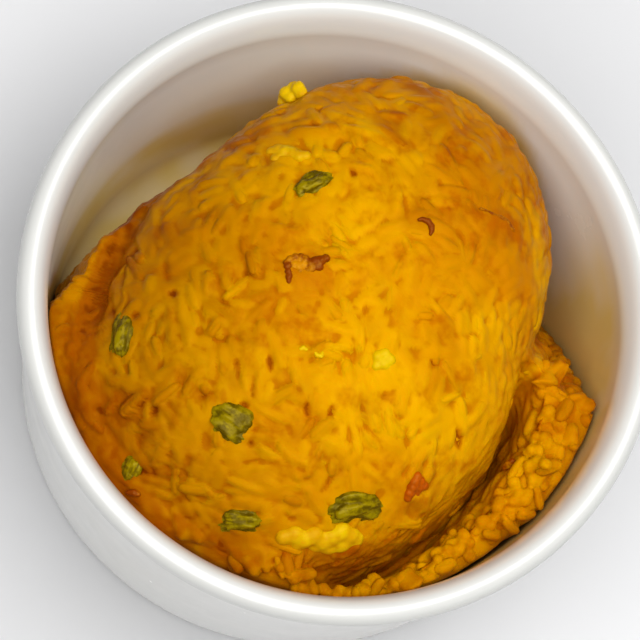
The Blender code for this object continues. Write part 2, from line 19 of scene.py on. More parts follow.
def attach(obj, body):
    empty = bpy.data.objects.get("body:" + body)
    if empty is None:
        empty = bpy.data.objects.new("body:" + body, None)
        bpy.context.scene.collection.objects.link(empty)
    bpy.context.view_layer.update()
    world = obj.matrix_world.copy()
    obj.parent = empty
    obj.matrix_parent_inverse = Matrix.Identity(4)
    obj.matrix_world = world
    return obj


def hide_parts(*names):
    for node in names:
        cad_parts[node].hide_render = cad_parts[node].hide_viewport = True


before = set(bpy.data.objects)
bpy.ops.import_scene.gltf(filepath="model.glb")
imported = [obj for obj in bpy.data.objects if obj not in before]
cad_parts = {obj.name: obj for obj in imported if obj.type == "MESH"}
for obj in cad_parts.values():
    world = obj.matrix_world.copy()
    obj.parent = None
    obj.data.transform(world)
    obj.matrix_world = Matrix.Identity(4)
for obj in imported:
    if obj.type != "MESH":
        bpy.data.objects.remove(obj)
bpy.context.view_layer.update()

bl_info = {
    "name": "Fried Rice Bowl",
    "version": (1, 0, 0),
    "blender": (4, 5, 0),
    "location": "3D View > Sidebar > Rice Bowl",
    "description": "Builds a moulded dome of golden fried rice in a deep white bowl",
    "category": "Add Mesh",
}

MM = 0.001
BODY = "root"

# Bowl outline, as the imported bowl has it.
BOWL_HEIGHT = 82 * MM
RIM_RADIUS = 75 * MM
LIP_THICKNESS = 6 * MM
WALL_TOP_OUTER = 71.5 * MM
WALL_TOP_INNER = 67 * MM
WALL_TOP_DROP = 11 * MM
HEEL_RADIUS = 66 * MM
HEEL_ROUND = 9 * MM
INNER_FLOOR_RADIUS = 61 * MM
INNER_ROUND = 12 * MM
FLOOR_THICKNESS = 6 * MM
FOOT_OUTER = 50 * MM
FOOT_INNER = 46 * MM
FOOT_HEIGHT = 2 * MM
FOOT_EDGE = 0.5 * MM
SOLE = 1.8 * MM
AXIS_HOLE = 0.4 * MM
BOWL_SIDES = 192

# Mound: plan axes, outline and heights. Heights are from the rim, down is negative.
MOUND_TURN = math.radians(-34)
TURN_COS = math.cos(MOUND_TURN)
TURN_SIN = math.sin(MOUND_TURN)
DOME_CENTRE_ALONG = 6 * MM
DOME_FAR_LEFT = 45.2 * MM
DOME_FAR_RIGHT = 43.8 * MM
DOME_NEAR_LEFT = 49.8 * MM
DOME_NEAR_RIGHT = 48.4 * MM
DOME_FAR_ALONG = 57.2 * MM
DOME_NEAR_ALONG = 66 * MM
DOME_FAR_POWER = 2.0
DOME_NEAR_POWER = 2.4
DOME_BLEND = 12 * MM
DOME_TOP = 9 * MM
DOME_SHOULDER = -16 * MM
DOME_PROFILE_POWER = 2.15
DOME_SIDE_SLOPE = 9.0
FOOT_SOFTNESS = 3.5 * MM
BED_CREST = -14.5 * MM
BED_WAVE = 1.6 * MM
BED_WAVES = ((5, 1.0, 1.0), (11, 2.0, 0.6))  # waves round the bowl, phase and share
BED_LOW = -78 * MM
BED_RIGHT_EDGE = 19.5 * MM
BED_RIGHT_FALL = 39 * MM
BED_LEFT_EDGE = 15 * MM
BED_LEFT_FALL = 14 * MM
LEDGE_LINE = (  # edge of the ledge on the left: along, across
    (-60, -57), (-38, -56.8), (-32, -55.4), (-26, -54.6), (-20, -55), (-15, -55), (-11.5, -53.8),
    (-8.6, -52.6), (-5, -52.8), (0, -51.2), (5, -49), (14, -46), (27, -43.2), (60, -38),
)
BED_SIDE_ROOM = 5.5 * MM
BED_SIDE_FALL = 7 * MM
BED_SIDE_END = -33 * MM
WALL_BAND = 6 * MM
WALL_DROP = 1.6 * MM
CREVICE_DROP = 2 * MM
CREVICE_ANGLE = math.radians(-6)
CREVICE_SPREAD = math.radians(24)
GROOVE_FLAT = 2.5 * MM
GROOVE_RISE = 4.5 * MM
FOOT_FILL = 4 * MM
RIGHT_GROOVE_DEPTH = 26 * MM
RIGHT_GROOVE_ANGLE = math.radians(-20)
RIGHT_GROOVE_SPREAD = math.radians(47)
LEFT_GROOVE_DEPTH = 0.5 * MM
LEFT_GROOVE_ANGLE = math.radians(-176)
LEFT_GROOVE_SPREAD = math.radians(52)

# The mound's sheet of points, and the grains laid on it.
SHEET_SPACING = 0.64 * MM
CORE_PATHS = 464
PATH_SAMPLES = 900
WALL_GAP = 0.3 * MM
SLOPE_STEP = 0.9 * MM
BIT_SLOPE_STEP = 3.1 * MM
SWELL_SIZE = 17 * MM
GRAIN_KINDS = 8
GRAIN_SEGMENTS = 8
GRAIN_RINGS = 7
GRAIN_END_POWER = 3.4
GRAIN_END_BLUNT = 0.5
GRAIN_COVER_SHARE = 0.8
LENGTH_SPREAD = 0.2
WIDTH_SPREAD = 0.13
BROKEN_SHARE = 0.07
BROKEN_LENGTH = 0.62
TURN_SPREAD = 0.4
TURN_DRIFT = 2.2
CREST_LENGTH = 0.76
LEDGE_SHORTENING = 0.42
LEDGE_NARROWING = 0.2
LEDGE_SINK = 0.1 * MM
LEDGE_CALM = 0.8
HAND_ROOM = 3.0
HEAP_LAYERS = ((-2.0 * MM, 0.9), (-0.9 * MM, 0.8), (0.1 * MM, 0.4))  # height and cover
HEAP_GRAIN_SHARE = 0.62
HEAP_VOXEL = 0.42 * MM
FILLET = 0.32 * MM
CORE_DEPTHS = (0.75, 0.5, 0.25, 0.1, 0.03, 0.0)


def smooth_step(value):
    held = np.clip(value, 0.0, 1.0)
    return held * held * (3.0 - 2.0 * held)


def rise(value, start, width):
    """0 up to the start and 1 from a width above it, smooth between them (mm)."""
    return smooth_step((value - start * MM) / (width * MM))


def fall(value, start, width):
    """0 down to the start and 1 from a width below it, smooth between them (mm)."""
    return smooth_step((start * MM - value) / (width * MM))


def blend(first, second, share):
    return first + (second - first) * share


# --- settings -----------------------------------------------------------------------------------


def colour(label, meaning, default):
    return bpy.props.FloatVectorProperty(
        name=label, description=meaning, default=default, min=0.0, max=1.0, size=3, subtype="COLOR"
    )


def measure(label, meaning, default, low, high):
    return bpy.props.FloatProperty(
        name=label, description=meaning, default=default, min=low, max=high, unit="LENGTH"
    )


def strength(label, meaning, default):
    return bpy.props.FloatProperty(name=label, description=meaning, default=default, min=0.0)


class BowlSettings(bpy.types.PropertyGroup):
    """The bowl's glaze."""

    glaze: colour("Glaze", "Colour of the porcelain glaze", (0.94, 0.94, 0.90))
    waviness: measure(
        "Waviness", "How far the fired wall wanders from a true circle", 0.2 * MM, 0.0, 1.0 * MM
    )


class RiceSettings(bpy.types.PropertyGroup):
    """Size, packing and colours of the rice."""

    grain_length: measure(
        "Grain length", "Length of a usual cooked grain", 7.6 * MM, 3 * MM, 10 * MM
    )
    grain_width: measure("Grain width", "Width of a usual cooked grain", 3.0 * MM, 1 * MM, 4 * MM)
    bright: colour("Bright grains", "Colour of the lightest grains", (0.70, 0.335, 0.0))
    golden: colour("Golden grains", "Colour of most grains", (0.62, 0.245, 0.0))
    # The crust colour also serves as painted shade on the dome's far side.
    crust: colour("Crust", "Colour of rice browned against the mould", (0.45, 0.115, 0.0))
    # Painted shade: colour of the rice low between its grains.
    gap_shade: colour("Gaps", "Colour deep between the grains", (0.47, 0.13, 0.0))
    # Painted shade: tint of the rice darkened away from its bright middle and near the wall, with some
    # random darkening.
    browning_and_shade: colour("Browning", "Tint of the darker rice near the wall", (0.62, 0.52, 0.4))
    # Painted shade: colour of the rice at the bottom of its slits and holes.
    pit_shade: colour("Pits", "Colour at the bottom of the small dark holes", (0.30, 0.062, 0.0))
    seed: bpy.props.IntProperty(
        name="Seed", description="Draw that lays the grains", default=5, min=0
    )


class BitsSettings(bpy.types.PropertyGroup):
    """Colours of the bits among the rice."""

    bean: colour("Green bean", "Colour of the green bits' skin", (0.10, 0.062, 0.0))
    bean_ribs: colour("Green ribs", "Colour of the green bits' ribs and ends", (0.27, 0.19, 0.0))
    carrot: colour("Carrot", "Colour of the carrot", (0.34, 0.06, 0.0))
    egg: colour("Egg", "Colour of the scrambled egg", (0.68, 0.43, 0.0))
    egg_shade: colour("Egg shade", "Colour of the duller egg", (0.60, 0.30, 0.0))
    flake: colour("Golden flake", "Colour of the browned flake's middle", (0.58, 0.22, 0.0))
    browned: colour("Browned bits", "Colour of the crisp brown bits", (0.22, 0.035, 0.0))


class StageSettings(bpy.types.PropertyGroup):
    """Floor and light."""

    floor: colour("Floor", "Colour of the pale floor", (0.78, 0.78, 0.79))
    key_power: strength("Key light", "Power of the large soft key light", 6.0)
    sky: strength("Room light", "Strength of the light from all round", 0.1)


# --- modelling helpers --------------------------------------------------------------------------


def only(*pieces):
    """Selects these pieces alone; the first one is active."""
    bpy.ops.object.select_all(action="DESELECT")
    for piece in pieces:
        piece.select_set(True)
    if pieces:
        bpy.context.view_layer.objects.active = pieces[0]


def named(name):
    """The object an operator has just added, under its own name."""
    made = bpy.context.active_object
    made.name = name
    made.data.name = name
    return made


def apply_place():
    bpy.ops.object.transform_apply(location=True, rotation=True, scale=True)


def apply_modifiers(piece):
    only(piece)
    for modifier in list(piece.modifiers):
        bpy.ops.object.modifier_apply(modifier=modifier.name)


def roughen(piece, size, height, depth=2):
    """Uneven swelling of a piece, by clouds of a given size."""
    texture = bpy.data.textures.new(f"{piece.name}_uneven", "CLOUDS")
    texture.noise_scale = size
    texture.noise_depth = depth
    modifier = piece.modifiers.new("uneven", "DISPLACE")
    modifier.texture = texture
    modifier.texture_coords = "LOCAL"
    modifier.strength = height


def soften(piece, rounds):
    """Smooths a piece's form, with its other modifiers, and then its shading."""
    piece.modifiers.new("soften", "SMOOTH").iterations = rounds
    apply_modifiers(piece)
    bpy.ops.object.shade_smooth()


def melt(piece, voxel):
    """Melts all the parts of a piece into one skin."""
    modifier = piece.modifiers.new("melt", "REMESH")
    modifier.mode = "VOXEL"
    modifier.voxel_size = voxel


def linked(name, data):
    """A new object in the scene."""
    made = bpy.data.objects.new(name, data)
    bpy.context.scene.collection.objects.link(made)
    return made


def mesh_piece(name, points, faces):
    """A piece of listed points and faces, with smooth shading."""
    mesh = bpy.data.meshes.new(name)
    mesh.from_pydata(points, [], faces, shade_flat=False)
    mesh.update()
    return linked(name, mesh)


def point_values(piece, **attributes):
    for name, values in attributes.items():
        attribute = piece.data.attributes.new(name, "FLOAT", "POINT")
        attribute.data.foreach_set("value", np.asarray(values, dtype=np.float32))


def vertex_values(piece, label):
    """The places ("co") or the normals ("normal") of all the piece's vertices."""
    values = np.empty(len(piece.data.vertices) * 3)
    piece.data.vertices.foreach_get(label, values)
    return values.reshape(-1, 3)


def hand_over(piece, slot, material, *nodes):
    """A finished piece: its finish, its body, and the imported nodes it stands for."""
    piece.data.materials.append(material)
    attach(piece, BODY)
    if nodes:
        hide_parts(*nodes)


def tree_of(points):
    tree = KDTree(len(points))
    for index, point in enumerate(points):
        tree.insert(point, index)
    tree.balance()
    return tree


def unit(vectors):
    return vectors / np.maximum(np.linalg.norm(vectors, axis=-1, keepdims=True), 1e-9)


def along_surface(vectors, normals):
    return unit(vectors - normals * np.sum(vectors * normals, axis=-1, keepdims=True))


def patch_noise(points, size, seed):
    """Smooth noise from -1 to 1 at each point, with features of the given size."""
    shift = Vector((seed * 5.3, seed * 2.9, seed * 7.7))
    return np.array([noise.noise(Vector(p) / size + shift) for p in points])


# --- form of the bowl and the mound -------------------------------------------------------------


def arc(centre_r, centre_z, radius, start, end, steps):
    """Points on an arc in the (r, z) half plane, both ends included, angles in degrees."""
    angles = [math.radians(start + (end - start) * i / steps) for i in range(steps + 1)]
    return [(centre_r + radius * math.cos(a), centre_z + radius * math.sin(a)) for a in angles]


def straight(first, last, shares):
    """Points on a line from the first to the last, at the given shares of its length."""
    return [tuple(blend(a, b, share) for a, b in zip(first, last)) for share in shares]


def inner_radius(z, room=0.0):
    """Radius of the bowl's inside at the heights z, some room in from the wall."""
    top = BOWL_HEIGHT - WALL_TOP_DROP
    bottom = FLOOR_THICKNESS + INNER_ROUND
    share = np.minimum((z - bottom) / (top - bottom), 1.0)
    wall = INNER_FLOOR_RADIUS + share * (WALL_TOP_INNER - INNER_FLOOR_RADIUS) - room
    round_radius = INNER_ROUND - room
    below = np.clip(bottom - z, 0.0, round_radius)
    foot = INNER_FLOOR_RADIUS - INNER_ROUND + np.sqrt(round_radius**2 - below**2)
    return np.where(share >= 0, wall, foot)


def out_from_axis(points):
    return np.hypot(points[:, 0], points[:, 1])


def hold_inside(points, room, gap=WALL_GAP):
    """Pulls points that would touch the bowl's wall in towards its axis."""
    wall = inner_radius(np.minimum(points[:, 2], BOWL_HEIGHT), gap) - room
    points[:, :2] *= np.minimum(wall / np.maximum(out_from_axis(points), MM), 1.0)[:, None]


def to_mound(x, y):
    return x * TURN_COS + y * TURN_SIN, -x * TURN_SIN + y * TURN_COS


def dome_reach(across, along):
    """How far out a place lies on the dome: 0 at its middle, 1 on its outline."""
    offset = along - DOME_CENTRE_ALONG
    near = smooth_step(0.5 - offset / (2 * DOME_BLEND))
    left = blend(DOME_FAR_LEFT, DOME_NEAR_LEFT, near)
    right = blend(DOME_FAR_RIGHT, DOME_NEAR_RIGHT, near)
    half_across = np.where(across > 0.0, right, left)
    half_along = np.where(offset > 0, DOME_FAR_ALONG, DOME_NEAR_ALONG)
    power = blend(DOME_FAR_POWER, DOME_NEAR_POWER, near)
    total = np.abs(across / half_across) ** power + np.abs(offset / half_along) ** power
    return total ** (1 / power)


def beyond_foot(points, half=DOME_NEAR_RIGHT):
    """Across and along in plan, and how far each point lies outside the dome's foot."""
    across, along = to_mound(points[:, 0], points[:, 1])
    return across, along, (dome_reach(across, along) - 1.0) * half


def dome_height(across, along):
    reach = dome_reach(across, along)
    inside = np.clip(1.0 - np.minimum(reach, 1.0) ** DOME_PROFILE_POWER, 0.0, 1.0)
    cap = DOME_SHOULDER + (DOME_TOP - DOME_SHOULDER) * np.sqrt(inside)
    return cap - np.maximum(reach - 1.0, 0.0) * DOME_NEAR_RIGHT * DOME_SIDE_SLOPE


def angle_bump(angle, middle, spread):
    """1 at one angle, falling smoothly to 0 at the spread on both sides of it."""
    away = np.abs((angle - middle + math.pi) % math.tau - math.pi)
    return smooth_step(2.0 * (1.0 - away / spread))


def groove_depth(angle):
    right = angle_bump(angle, RIGHT_GROOVE_ANGLE, RIGHT_GROOVE_SPREAD)
    left = angle_bump(angle, LEFT_GROOVE_ANGLE, LEFT_GROOVE_SPREAD)
    deepest = (RIGHT_GROOVE_DEPTH + FOOT_FILL) * right + (LEFT_GROOVE_DEPTH + FOOT_FILL) * left
    return deepest - FOOT_FILL


def bed_presence(across, along):
    """1 where the loose rice lies at its full height, falling to 0 on the far side."""
    side = smooth_step(across / (2 * RIM_RADIUS) + 0.5)
    edge = blend(BED_LEFT_EDGE, BED_RIGHT_EDGE, side)
    drop = blend(BED_LEFT_FALL, BED_RIGHT_FALL, side)
    near = np.clip((edge + drop - along) / drop, 0.0, 1.0)
    stops, edges = np.array(LEDGE_LINE).T * MM
    ledge = smooth_step((across - np.interp(along, stops, edges) + BED_SIDE_ROOM) / BED_SIDE_FALL)
    against_wall = smooth_step((BED_SIDE_END - along) / BED_SIDE_FALL)
    return near * np.maximum(ledge, against_wall)


def bed_height(across, along):
    angle = np.arctan2(along, across)
    wave = 0.0
    for count, phase, share in BED_WAVES:
        wave = wave + BED_WAVE * share * np.sin(count * angle + phase)
    wall = inner_radius(BOWL_HEIGHT + BED_CREST)
    at_wall = smooth_step((np.hypot(across, along) - wall + WALL_BAND) / WALL_BAND)
    crevice = CREVICE_DROP * angle_bump(angle, CREVICE_ANGLE, CREVICE_SPREAD)
    outside = (dome_reach(across, along) - 1.0) * DOME_NEAR_RIGHT
    in_groove = 1.0 - smooth_step((outside - GROOVE_FLAT) / GROOVE_RISE)
    crest = BED_CREST + wave - (WALL_DROP + crevice) * at_wall - groove_depth(angle) * in_groove
    return BED_LOW + (crest - BED_LOW) * bed_presence(across, along)


def mound_height(x, y):
    """Height of the rice above the table at (x, y), without its grains."""
    across, along = to_mound(x, y)
    dome = dome_height(across, along)
    bed = bed_height(across, along)
    joined = (dome + bed + np.sqrt((dome - bed) ** 2 + FOOT_SOFTNESS**2)) / 2
    return BOWL_HEIGHT + joined


def mound_normals(x, y, step=SLOPE_STEP):
    """Outward unit normals of the mound, over a grain's width."""
    slope_x = (mound_height(x + step, y) - mound_height(x - step, y)) / (2 * step)
    slope_y = (mound_height(x, y + step) - mound_height(x, y - step)) / (2 * step)
    normals = np.stack([-slope_x, -slope_y, np.ones_like(slope_x)], axis=-1)
    return normals / np.linalg.norm(normals, axis=-1, keepdims=True)


def mound_paths(spacing):
    """Points on lines from the dome's middle out to the rice's edge, evenly stepped on each."""
    centre_x = -DOME_CENTRE_ALONG * TURN_SIN
    centre_y = DOME_CENTRE_ALONG * TURN_COS
    lines = []
    for i in range(CORE_PATHS):
        angle = math.tau * i / CORE_PATHS
        radii = np.linspace(0.0, 2 * RIM_RADIUS, PATH_SAMPLES)
        x = centre_x + radii * math.cos(angle)
        y = centre_y + radii * math.sin(angle)
        z = mound_height(x, y)
        limit = inner_radius(np.minimum(z, BOWL_HEIGHT), WALL_GAP)
        over = (np.hypot(x, y) > limit) | (z < FLOOR_THICKNESS + 2 * MM)
        last = max(int(np.argmax(over)), 2)
        run = np.concatenate([[0.0], np.cumsum(np.hypot(np.diff(radii), np.diff(z)))])[:last]
        lines.append((angle, run, radii[:last]))
    rings = round(max(run[-1] for _, run, _ in lines) / spacing)
    paths = np.zeros((CORE_PATHS, rings, 3))
    for i, (angle, run, radii) in enumerate(lines):
        stops = np.interp(np.linspace(0.0, run[-1], rings), run, radii)
        paths[i, :, 0] = centre_x + stops * math.cos(angle)
        paths[i, :, 1] = centre_y + stops * math.sin(angle)
    paths[:, :, 2] = mound_height(paths[:, :, 0], paths[:, :, 1])
    return paths


# --- shader nodes -------------------------------------------------------------------------------

NODE_ROW = 8
NODE_GAP = 260
RICE_GLOW = (1.0, 0.42, 0.06)
RICE_SHEEN = (1.0, 0.6, 0.03)
BIT_GLOW = (1.0, 0.6, 0.2)
BIT_SHEEN = (1.0, 0.8, 0.2)
WARM_GLAZE = (0.985, 0.972, 0.95)
# Painted light and shade on the glaze: the rim's darkening, the inside's brighter tint, and the oil
# colour that also paints bounce light and shade.
RIM_SHADE = 0.76
INSIDE_PAINTED_LIGHT = (0.94, 1.0, 0.97)
OIL_FILM_LIGHT_AND_SHADE = (0.87, 0.72, 0.24)
BARE_BISCUIT = (0.62, 0.57, 0.50)
RICE_TONE_SOCKETS = {
    "INPUT": {"Bright": "Color", "Golden": "Color", "Crust": "Color", "Tone": "Float", "Toast": "Float"},
    "OUTPUT": {"Color": "Color", "Oil": "Float", "Height": "Float"},
}


def feed(tree, socket, value):
    """Links a socket to another one, or gives it a plain value."""
    if isinstance(value, bpy.types.NodeSocket):
        tree.links.new(value, socket)
    elif socket.type == "RGBA":
        socket.default_value = (*value, 1.0)
    else:
        socket.default_value = value


def node(tree, kind, inputs=None, **settings):
    """A new node, set out in rows, with its settings and then its inputs."""
    row, column = divmod(len(tree.nodes), NODE_ROW)
    made = tree.nodes.new(kind)
    made.location = (column * NODE_GAP, -row * NODE_GAP)
    for key, value in settings.items():
        setattr(made, key, value)
    for key, value in (inputs or {}).items():
        feed(tree, made.inputs[key], value)
    return made


def mix_colour(tree, factor, first, second, mode="MIX"):
    inputs = {0: factor, 6: first, 7: second}
    return node(tree, "ShaderNodeMix", inputs, data_type="RGBA", blend_type=mode).outputs[2]


def maths(tree, operation, first, second, clamp=False):
    inputs = {0: first, 1: second}
    return node(tree, "ShaderNodeMath", inputs, operation=operation, use_clamp=clamp).outputs[0]


def ranged(tree, value, low, high, out_low=0.0, out_high=1.0):
    """A value's share between two ends, smoothed and held."""
    inputs = {"Value": value, "From Min": low, "From Max": high, "To Min": out_low, "To Max": out_high}
    return node(tree, "ShaderNodeMapRange", inputs, interpolation_type="SMOOTHSTEP").outputs["Result"]


def noise_socket(tree, scale, detail=3.0, rough=0.5):
    """Noise on object coordinates."""
    place = node(tree, "ShaderNodeTexCoord").outputs["Object"]
    inputs = {"Vector": place, "Scale": scale, "Detail": detail, "Roughness": rough}
    return node(tree, "ShaderNodeTexNoise", inputs).outputs["Fac"]


def attribute_socket(tree, name):
    return node(tree, "ShaderNodeAttribute", attribute_name=name).outputs["Fac"]


def bump(tree, height, distance, share):
    inputs = {"Height": height, "Distance": distance, "Strength": share}
    return node(tree, "ShaderNodeBump", inputs).outputs["Normal"]


def new_material(name):
    """A material and its tree, which holds the Principled shader alone."""
    material = bpy.data.materials.new(name)
    material.use_nodes = True
    tree = material.node_tree
    tree.nodes["Principled BSDF"].location = (NODE_ROW * NODE_GAP, 0)
    tree.nodes["Material Output"].location = ((NODE_ROW + 2) * NODE_GAP, 0)
    return material, tree


def finish(material, **values):
    """Feeds the Principled shader of a material, which is then complete."""
    tree = material.node_tree
    for label, value in values.items():
        feed(tree, tree.nodes["Principled BSDF"].inputs[label.replace("_", " ")], value)
    return material


def rice_tone_group():
    """Colour of cooked rice: each grain's own tone, blotches of yellow and the crust's brown, which also
    carries painted shade.
    """
    group = bpy.data.node_groups.new("rice_tone", "ShaderNodeTree")
    for way, sockets in RICE_TONE_SOCKETS.items():
        for label, kind in sockets.items():
            group.interface.new_socket(name=label, in_out=way, socket_type=f"NodeSocket{kind}")
    given = node(group, "NodeGroupInput").outputs
    patches = ranged(group, noise_socket(group, 42.0, 2.0), 0.38, 0.66, -0.3, 0.35)
    tone = maths(group, "ADD", given["Tone"], patches, clamp=True)
    base = mix_colour(group, tone, given["Golden"], given["Bright"])
    browned = ranged(group, noise_socket(group, 150.0, 3.0, 0.6), 0.5, 0.78)
    toast = maths(group, "ADD", given["Toast"], browned)
    toast = maths(group, "MULTIPLY", toast, 0.75, clamp=True)
    results = {
        "Color": mix_colour(group, toast, base, given["Crust"]),
        "Oil": ranged(group, noise_socket(group, 260.0, 2.0), 0.35, 0.65),
        "Height": noise_socket(group, 900.0, 2.0, 0.6),
    }
    node(group, "NodeGroupOutput", results)
    return group


def rice_material(settings):
    """Moist, slightly see-through rice coated with oil, darkened with painted shade between its grains,
    in its holes and groove, and away from its bright middle.
    """
    material, tree = new_material("rice_moist")
    inputs = {
        "Bright": settings.bright,
        "Golden": settings.golden,
        "Crust": settings.crust,
        "Tone": attribute_socket(tree, "tone"),
        "Toast": attribute_socket(tree, "toast"),
    }
    tone = node(tree, "ShaderNodeGroup", inputs, node_tree=rice_tone_group()).outputs
    # Painted shade: the deep attribute darkens the rice towards the gap and pit colours low between
    # grains, in slits and holes and in the groove.
    deep = attribute_socket(tree, "deep")
    sunk = ranged(tree, deep, 0.0, 0.5, 0.0, 0.8)
    shade = mix_colour(tree, sunk, tone["Color"], settings.gap_shade)
    shade = mix_colour(tree, ranged(tree, deep, 0.52, 1.0), shade, settings.pit_shade)
    # Painted shade: the browned attribute darkens the rice with the tint above, away from its bright
    # middle and near the wall, with some random darkening.
    darker = mix_colour(tree, 1.0, shade, settings.browning_and_shade, "MULTIPLY")
    return finish(
        material,
        Base_Color=mix_colour(tree, attribute_socket(tree, "browned"), shade, darker),
        Roughness=ranged(tree, tone["Oil"], 0.0, 1.0, 0.28, 0.62),
        Normal=bump(tree, tone["Height"], 0.12 * MM, 0.6),
        Subsurface_Weight=0.3,
        Subsurface_Scale=1.6 * MM,
        Subsurface_Radius=RICE_GLOW,
        Specular_IOR_Level=0.12,
        Specular_Tint=RICE_SHEEN,
    )


# --- bowl ---------------------------------------------------------------------------------------


def bowl_line():
    """Outline of the bowl in (r, z), finely rounded, from underneath to the inner floor."""
    half_lip = LIP_THICKNESS / 2
    lip_r = RIM_RADIUS - half_lip
    wall_top = BOWL_HEIGHT - WALL_TOP_DROP
    line = [(AXIS_HOLE, FOOT_HEIGHT), (FOOT_INNER * 0.5, FOOT_HEIGHT)]
    line += [(FOOT_INNER - FOOT_HEIGHT, FOOT_HEIGHT)]
    line += [(FOOT_INNER - FOOT_EDGE, FOOT_EDGE), (FOOT_INNER, 0.0), (FOOT_OUTER, 0.0)]
    line += [(FOOT_OUTER + FOOT_EDGE, FOOT_EDGE), (FOOT_OUTER + FOOT_HEIGHT, SOLE)]
    line += arc(HEEL_RADIUS - HEEL_ROUND, SOLE + HEEL_ROUND, HEEL_ROUND, -90, -5, 14)
    line += straight(line[-1], (WALL_TOP_OUTER, wall_top), [i / 8 for i in range(1, 9)])
    line += arc(lip_r, BOWL_HEIGHT - half_lip, half_lip, -35, 90, 16)
    for i in range(1, 17):
        turn = math.pi / 2 * i / 16
        ease = 1.0 - (1.0 - math.sin(turn)) ** 0.9
        drop = wall_top + WALL_TOP_DROP * math.cos(turn) ** 0.9
        line += [(blend(lip_r, WALL_TOP_INNER, ease), drop)]
    foot = arc(
        INNER_FLOOR_RADIUS - INNER_ROUND, FLOOR_THICKNESS + INNER_ROUND, INNER_ROUND, 0, -90, 14
    )
    line += straight((WALL_TOP_INNER, wall_top), foot[0], [i / 10 for i in range(1, 10)])
    return line + foot + [(INNER_FLOOR_RADIUS * 0.4, FLOOR_THICKNESS), (AXIS_HOLE, FLOOR_THICKNESS)]


def draw_line(points):
    """Draws a line of points in the XZ plane, from one vertex extruded again and again."""
    only()
    bpy.ops.mesh.primitive_plane_add(size=MM, location=(points[0][0], 0.0, points[0][1]))
    bpy.ops.object.mode_set(mode="EDIT")
    bpy.ops.mesh.merge(type="CENTER")
    for (r, z), (next_r, next_z) in zip(points, points[1:]):
        step = (next_r - r, 0.0, next_z - z)
        bpy.ops.mesh.extrude_region_move(TRANSFORM_OT_translate={"value": step})


def glaze_material(settings):
    """White glaze: pooled and dusty in places, bare rough biscuit on the foot ring, painted shade on the
    rim, a painted brighter inside, and the oil's painted light and shade.
    """
    material, tree = new_material("white_porcelain_glaze")
    place = node(tree, "ShaderNodeTexCoord").outputs["Object"]
    height = node(tree, "ShaderNodeSeparateXYZ", {"Vector": place}).outputs["Z"]
    foot = ranged(tree, height, 0.9 * MM, 0.3 * MM)
    pooled = ranged(tree, noise_socket(tree, 18.0), 0.35, 0.7)
    warm = [part * share for part, share in zip(settings.glaze, WARM_GLAZE)]
    skin = mix_colour(tree, pooled, settings.glaze, warm)
    # Painted light: the inside is tinted brighter than the rest of the glaze.
    skin = mix_colour(tree, attribute_socket(tree, "inside"), skin, INSIDE_PAINTED_LIGHT)
    # Oil on the wall, with painted yellow bounce light from the rice beside it and painted shade low in
    # the bowl.
    skin = mix_colour(tree, attribute_socket(tree, "film"), skin, OIL_FILM_LIGHT_AND_SHADE)
    # Painted shade: the glaze darkens towards the rim.
    thin = [part * RIM_SHADE for part in settings.glaze]
    skin = mix_colour(tree, ranged(tree, height, 74 * MM, 80 * MM), skin, thin)
    gloss = ranged(tree, noise_socket(tree, 60.0, 4.0, 0.6), 0.3, 0.8, 0.2, 0.28)
    return finish(
        material,
        Base_Color=mix_colour(tree, foot, skin, BARE_BISCUIT),
        Roughness=maths(tree, "MAXIMUM", gloss, maths(tree, "MULTIPLY", foot, 0.7)),
        Normal=bump(tree, noise_socket(tree, 35.0, 2.0, 0.4), 0.25 * MM, 0.2),
        Specular_IOR_Level=0.5,
        Coat_Weight=0.5,
        Coat_Roughness=0.2,
    )


class RICEBOWL_OT_bowl(bpy.types.Operator):
    """Spins the glazed bowl from its outline"""

    bl_idname = "ricebowl.bowl"
    bl_label = "Bowl"

    def execute(self, context):
        settings = context.scene.ricebowl_bowl
        draw_line(bowl_line())
        bpy.ops.mesh.select_all(action="SELECT")
        bpy.ops.mesh.spin(
            steps=BOWL_SIDES, angle=math.tau, center=(0, 0, 0), axis=(0, 0, 1), dupli=False
        )
        bpy.ops.mesh.select_all(action="SELECT")
        bpy.ops.mesh.remove_doubles(threshold=0.02 * MM)
        bpy.ops.mesh.select_all(action="DESELECT")
        bpy.ops.mesh.select_non_manifold(extend=False)
        bpy.ops.mesh.edge_face_add()
        bpy.ops.object.mode_set(mode="OBJECT")
        bowl = named("bowl_glazed")
        only(bowl)
        apply_place()
        close_and_turn_out(bowl, 0.01 * MM)
        roughen(bowl, 70 * MM, settings.waviness, 0)
        apply_modifiers(bowl)
        bpy.ops.object.shade_smooth_by_angle(angle=math.radians(40))
        tint_inside(bowl)
        hand_over(bowl, "white_porcelain", glaze_material(settings), "bowl")
        return {"FINISHED"}


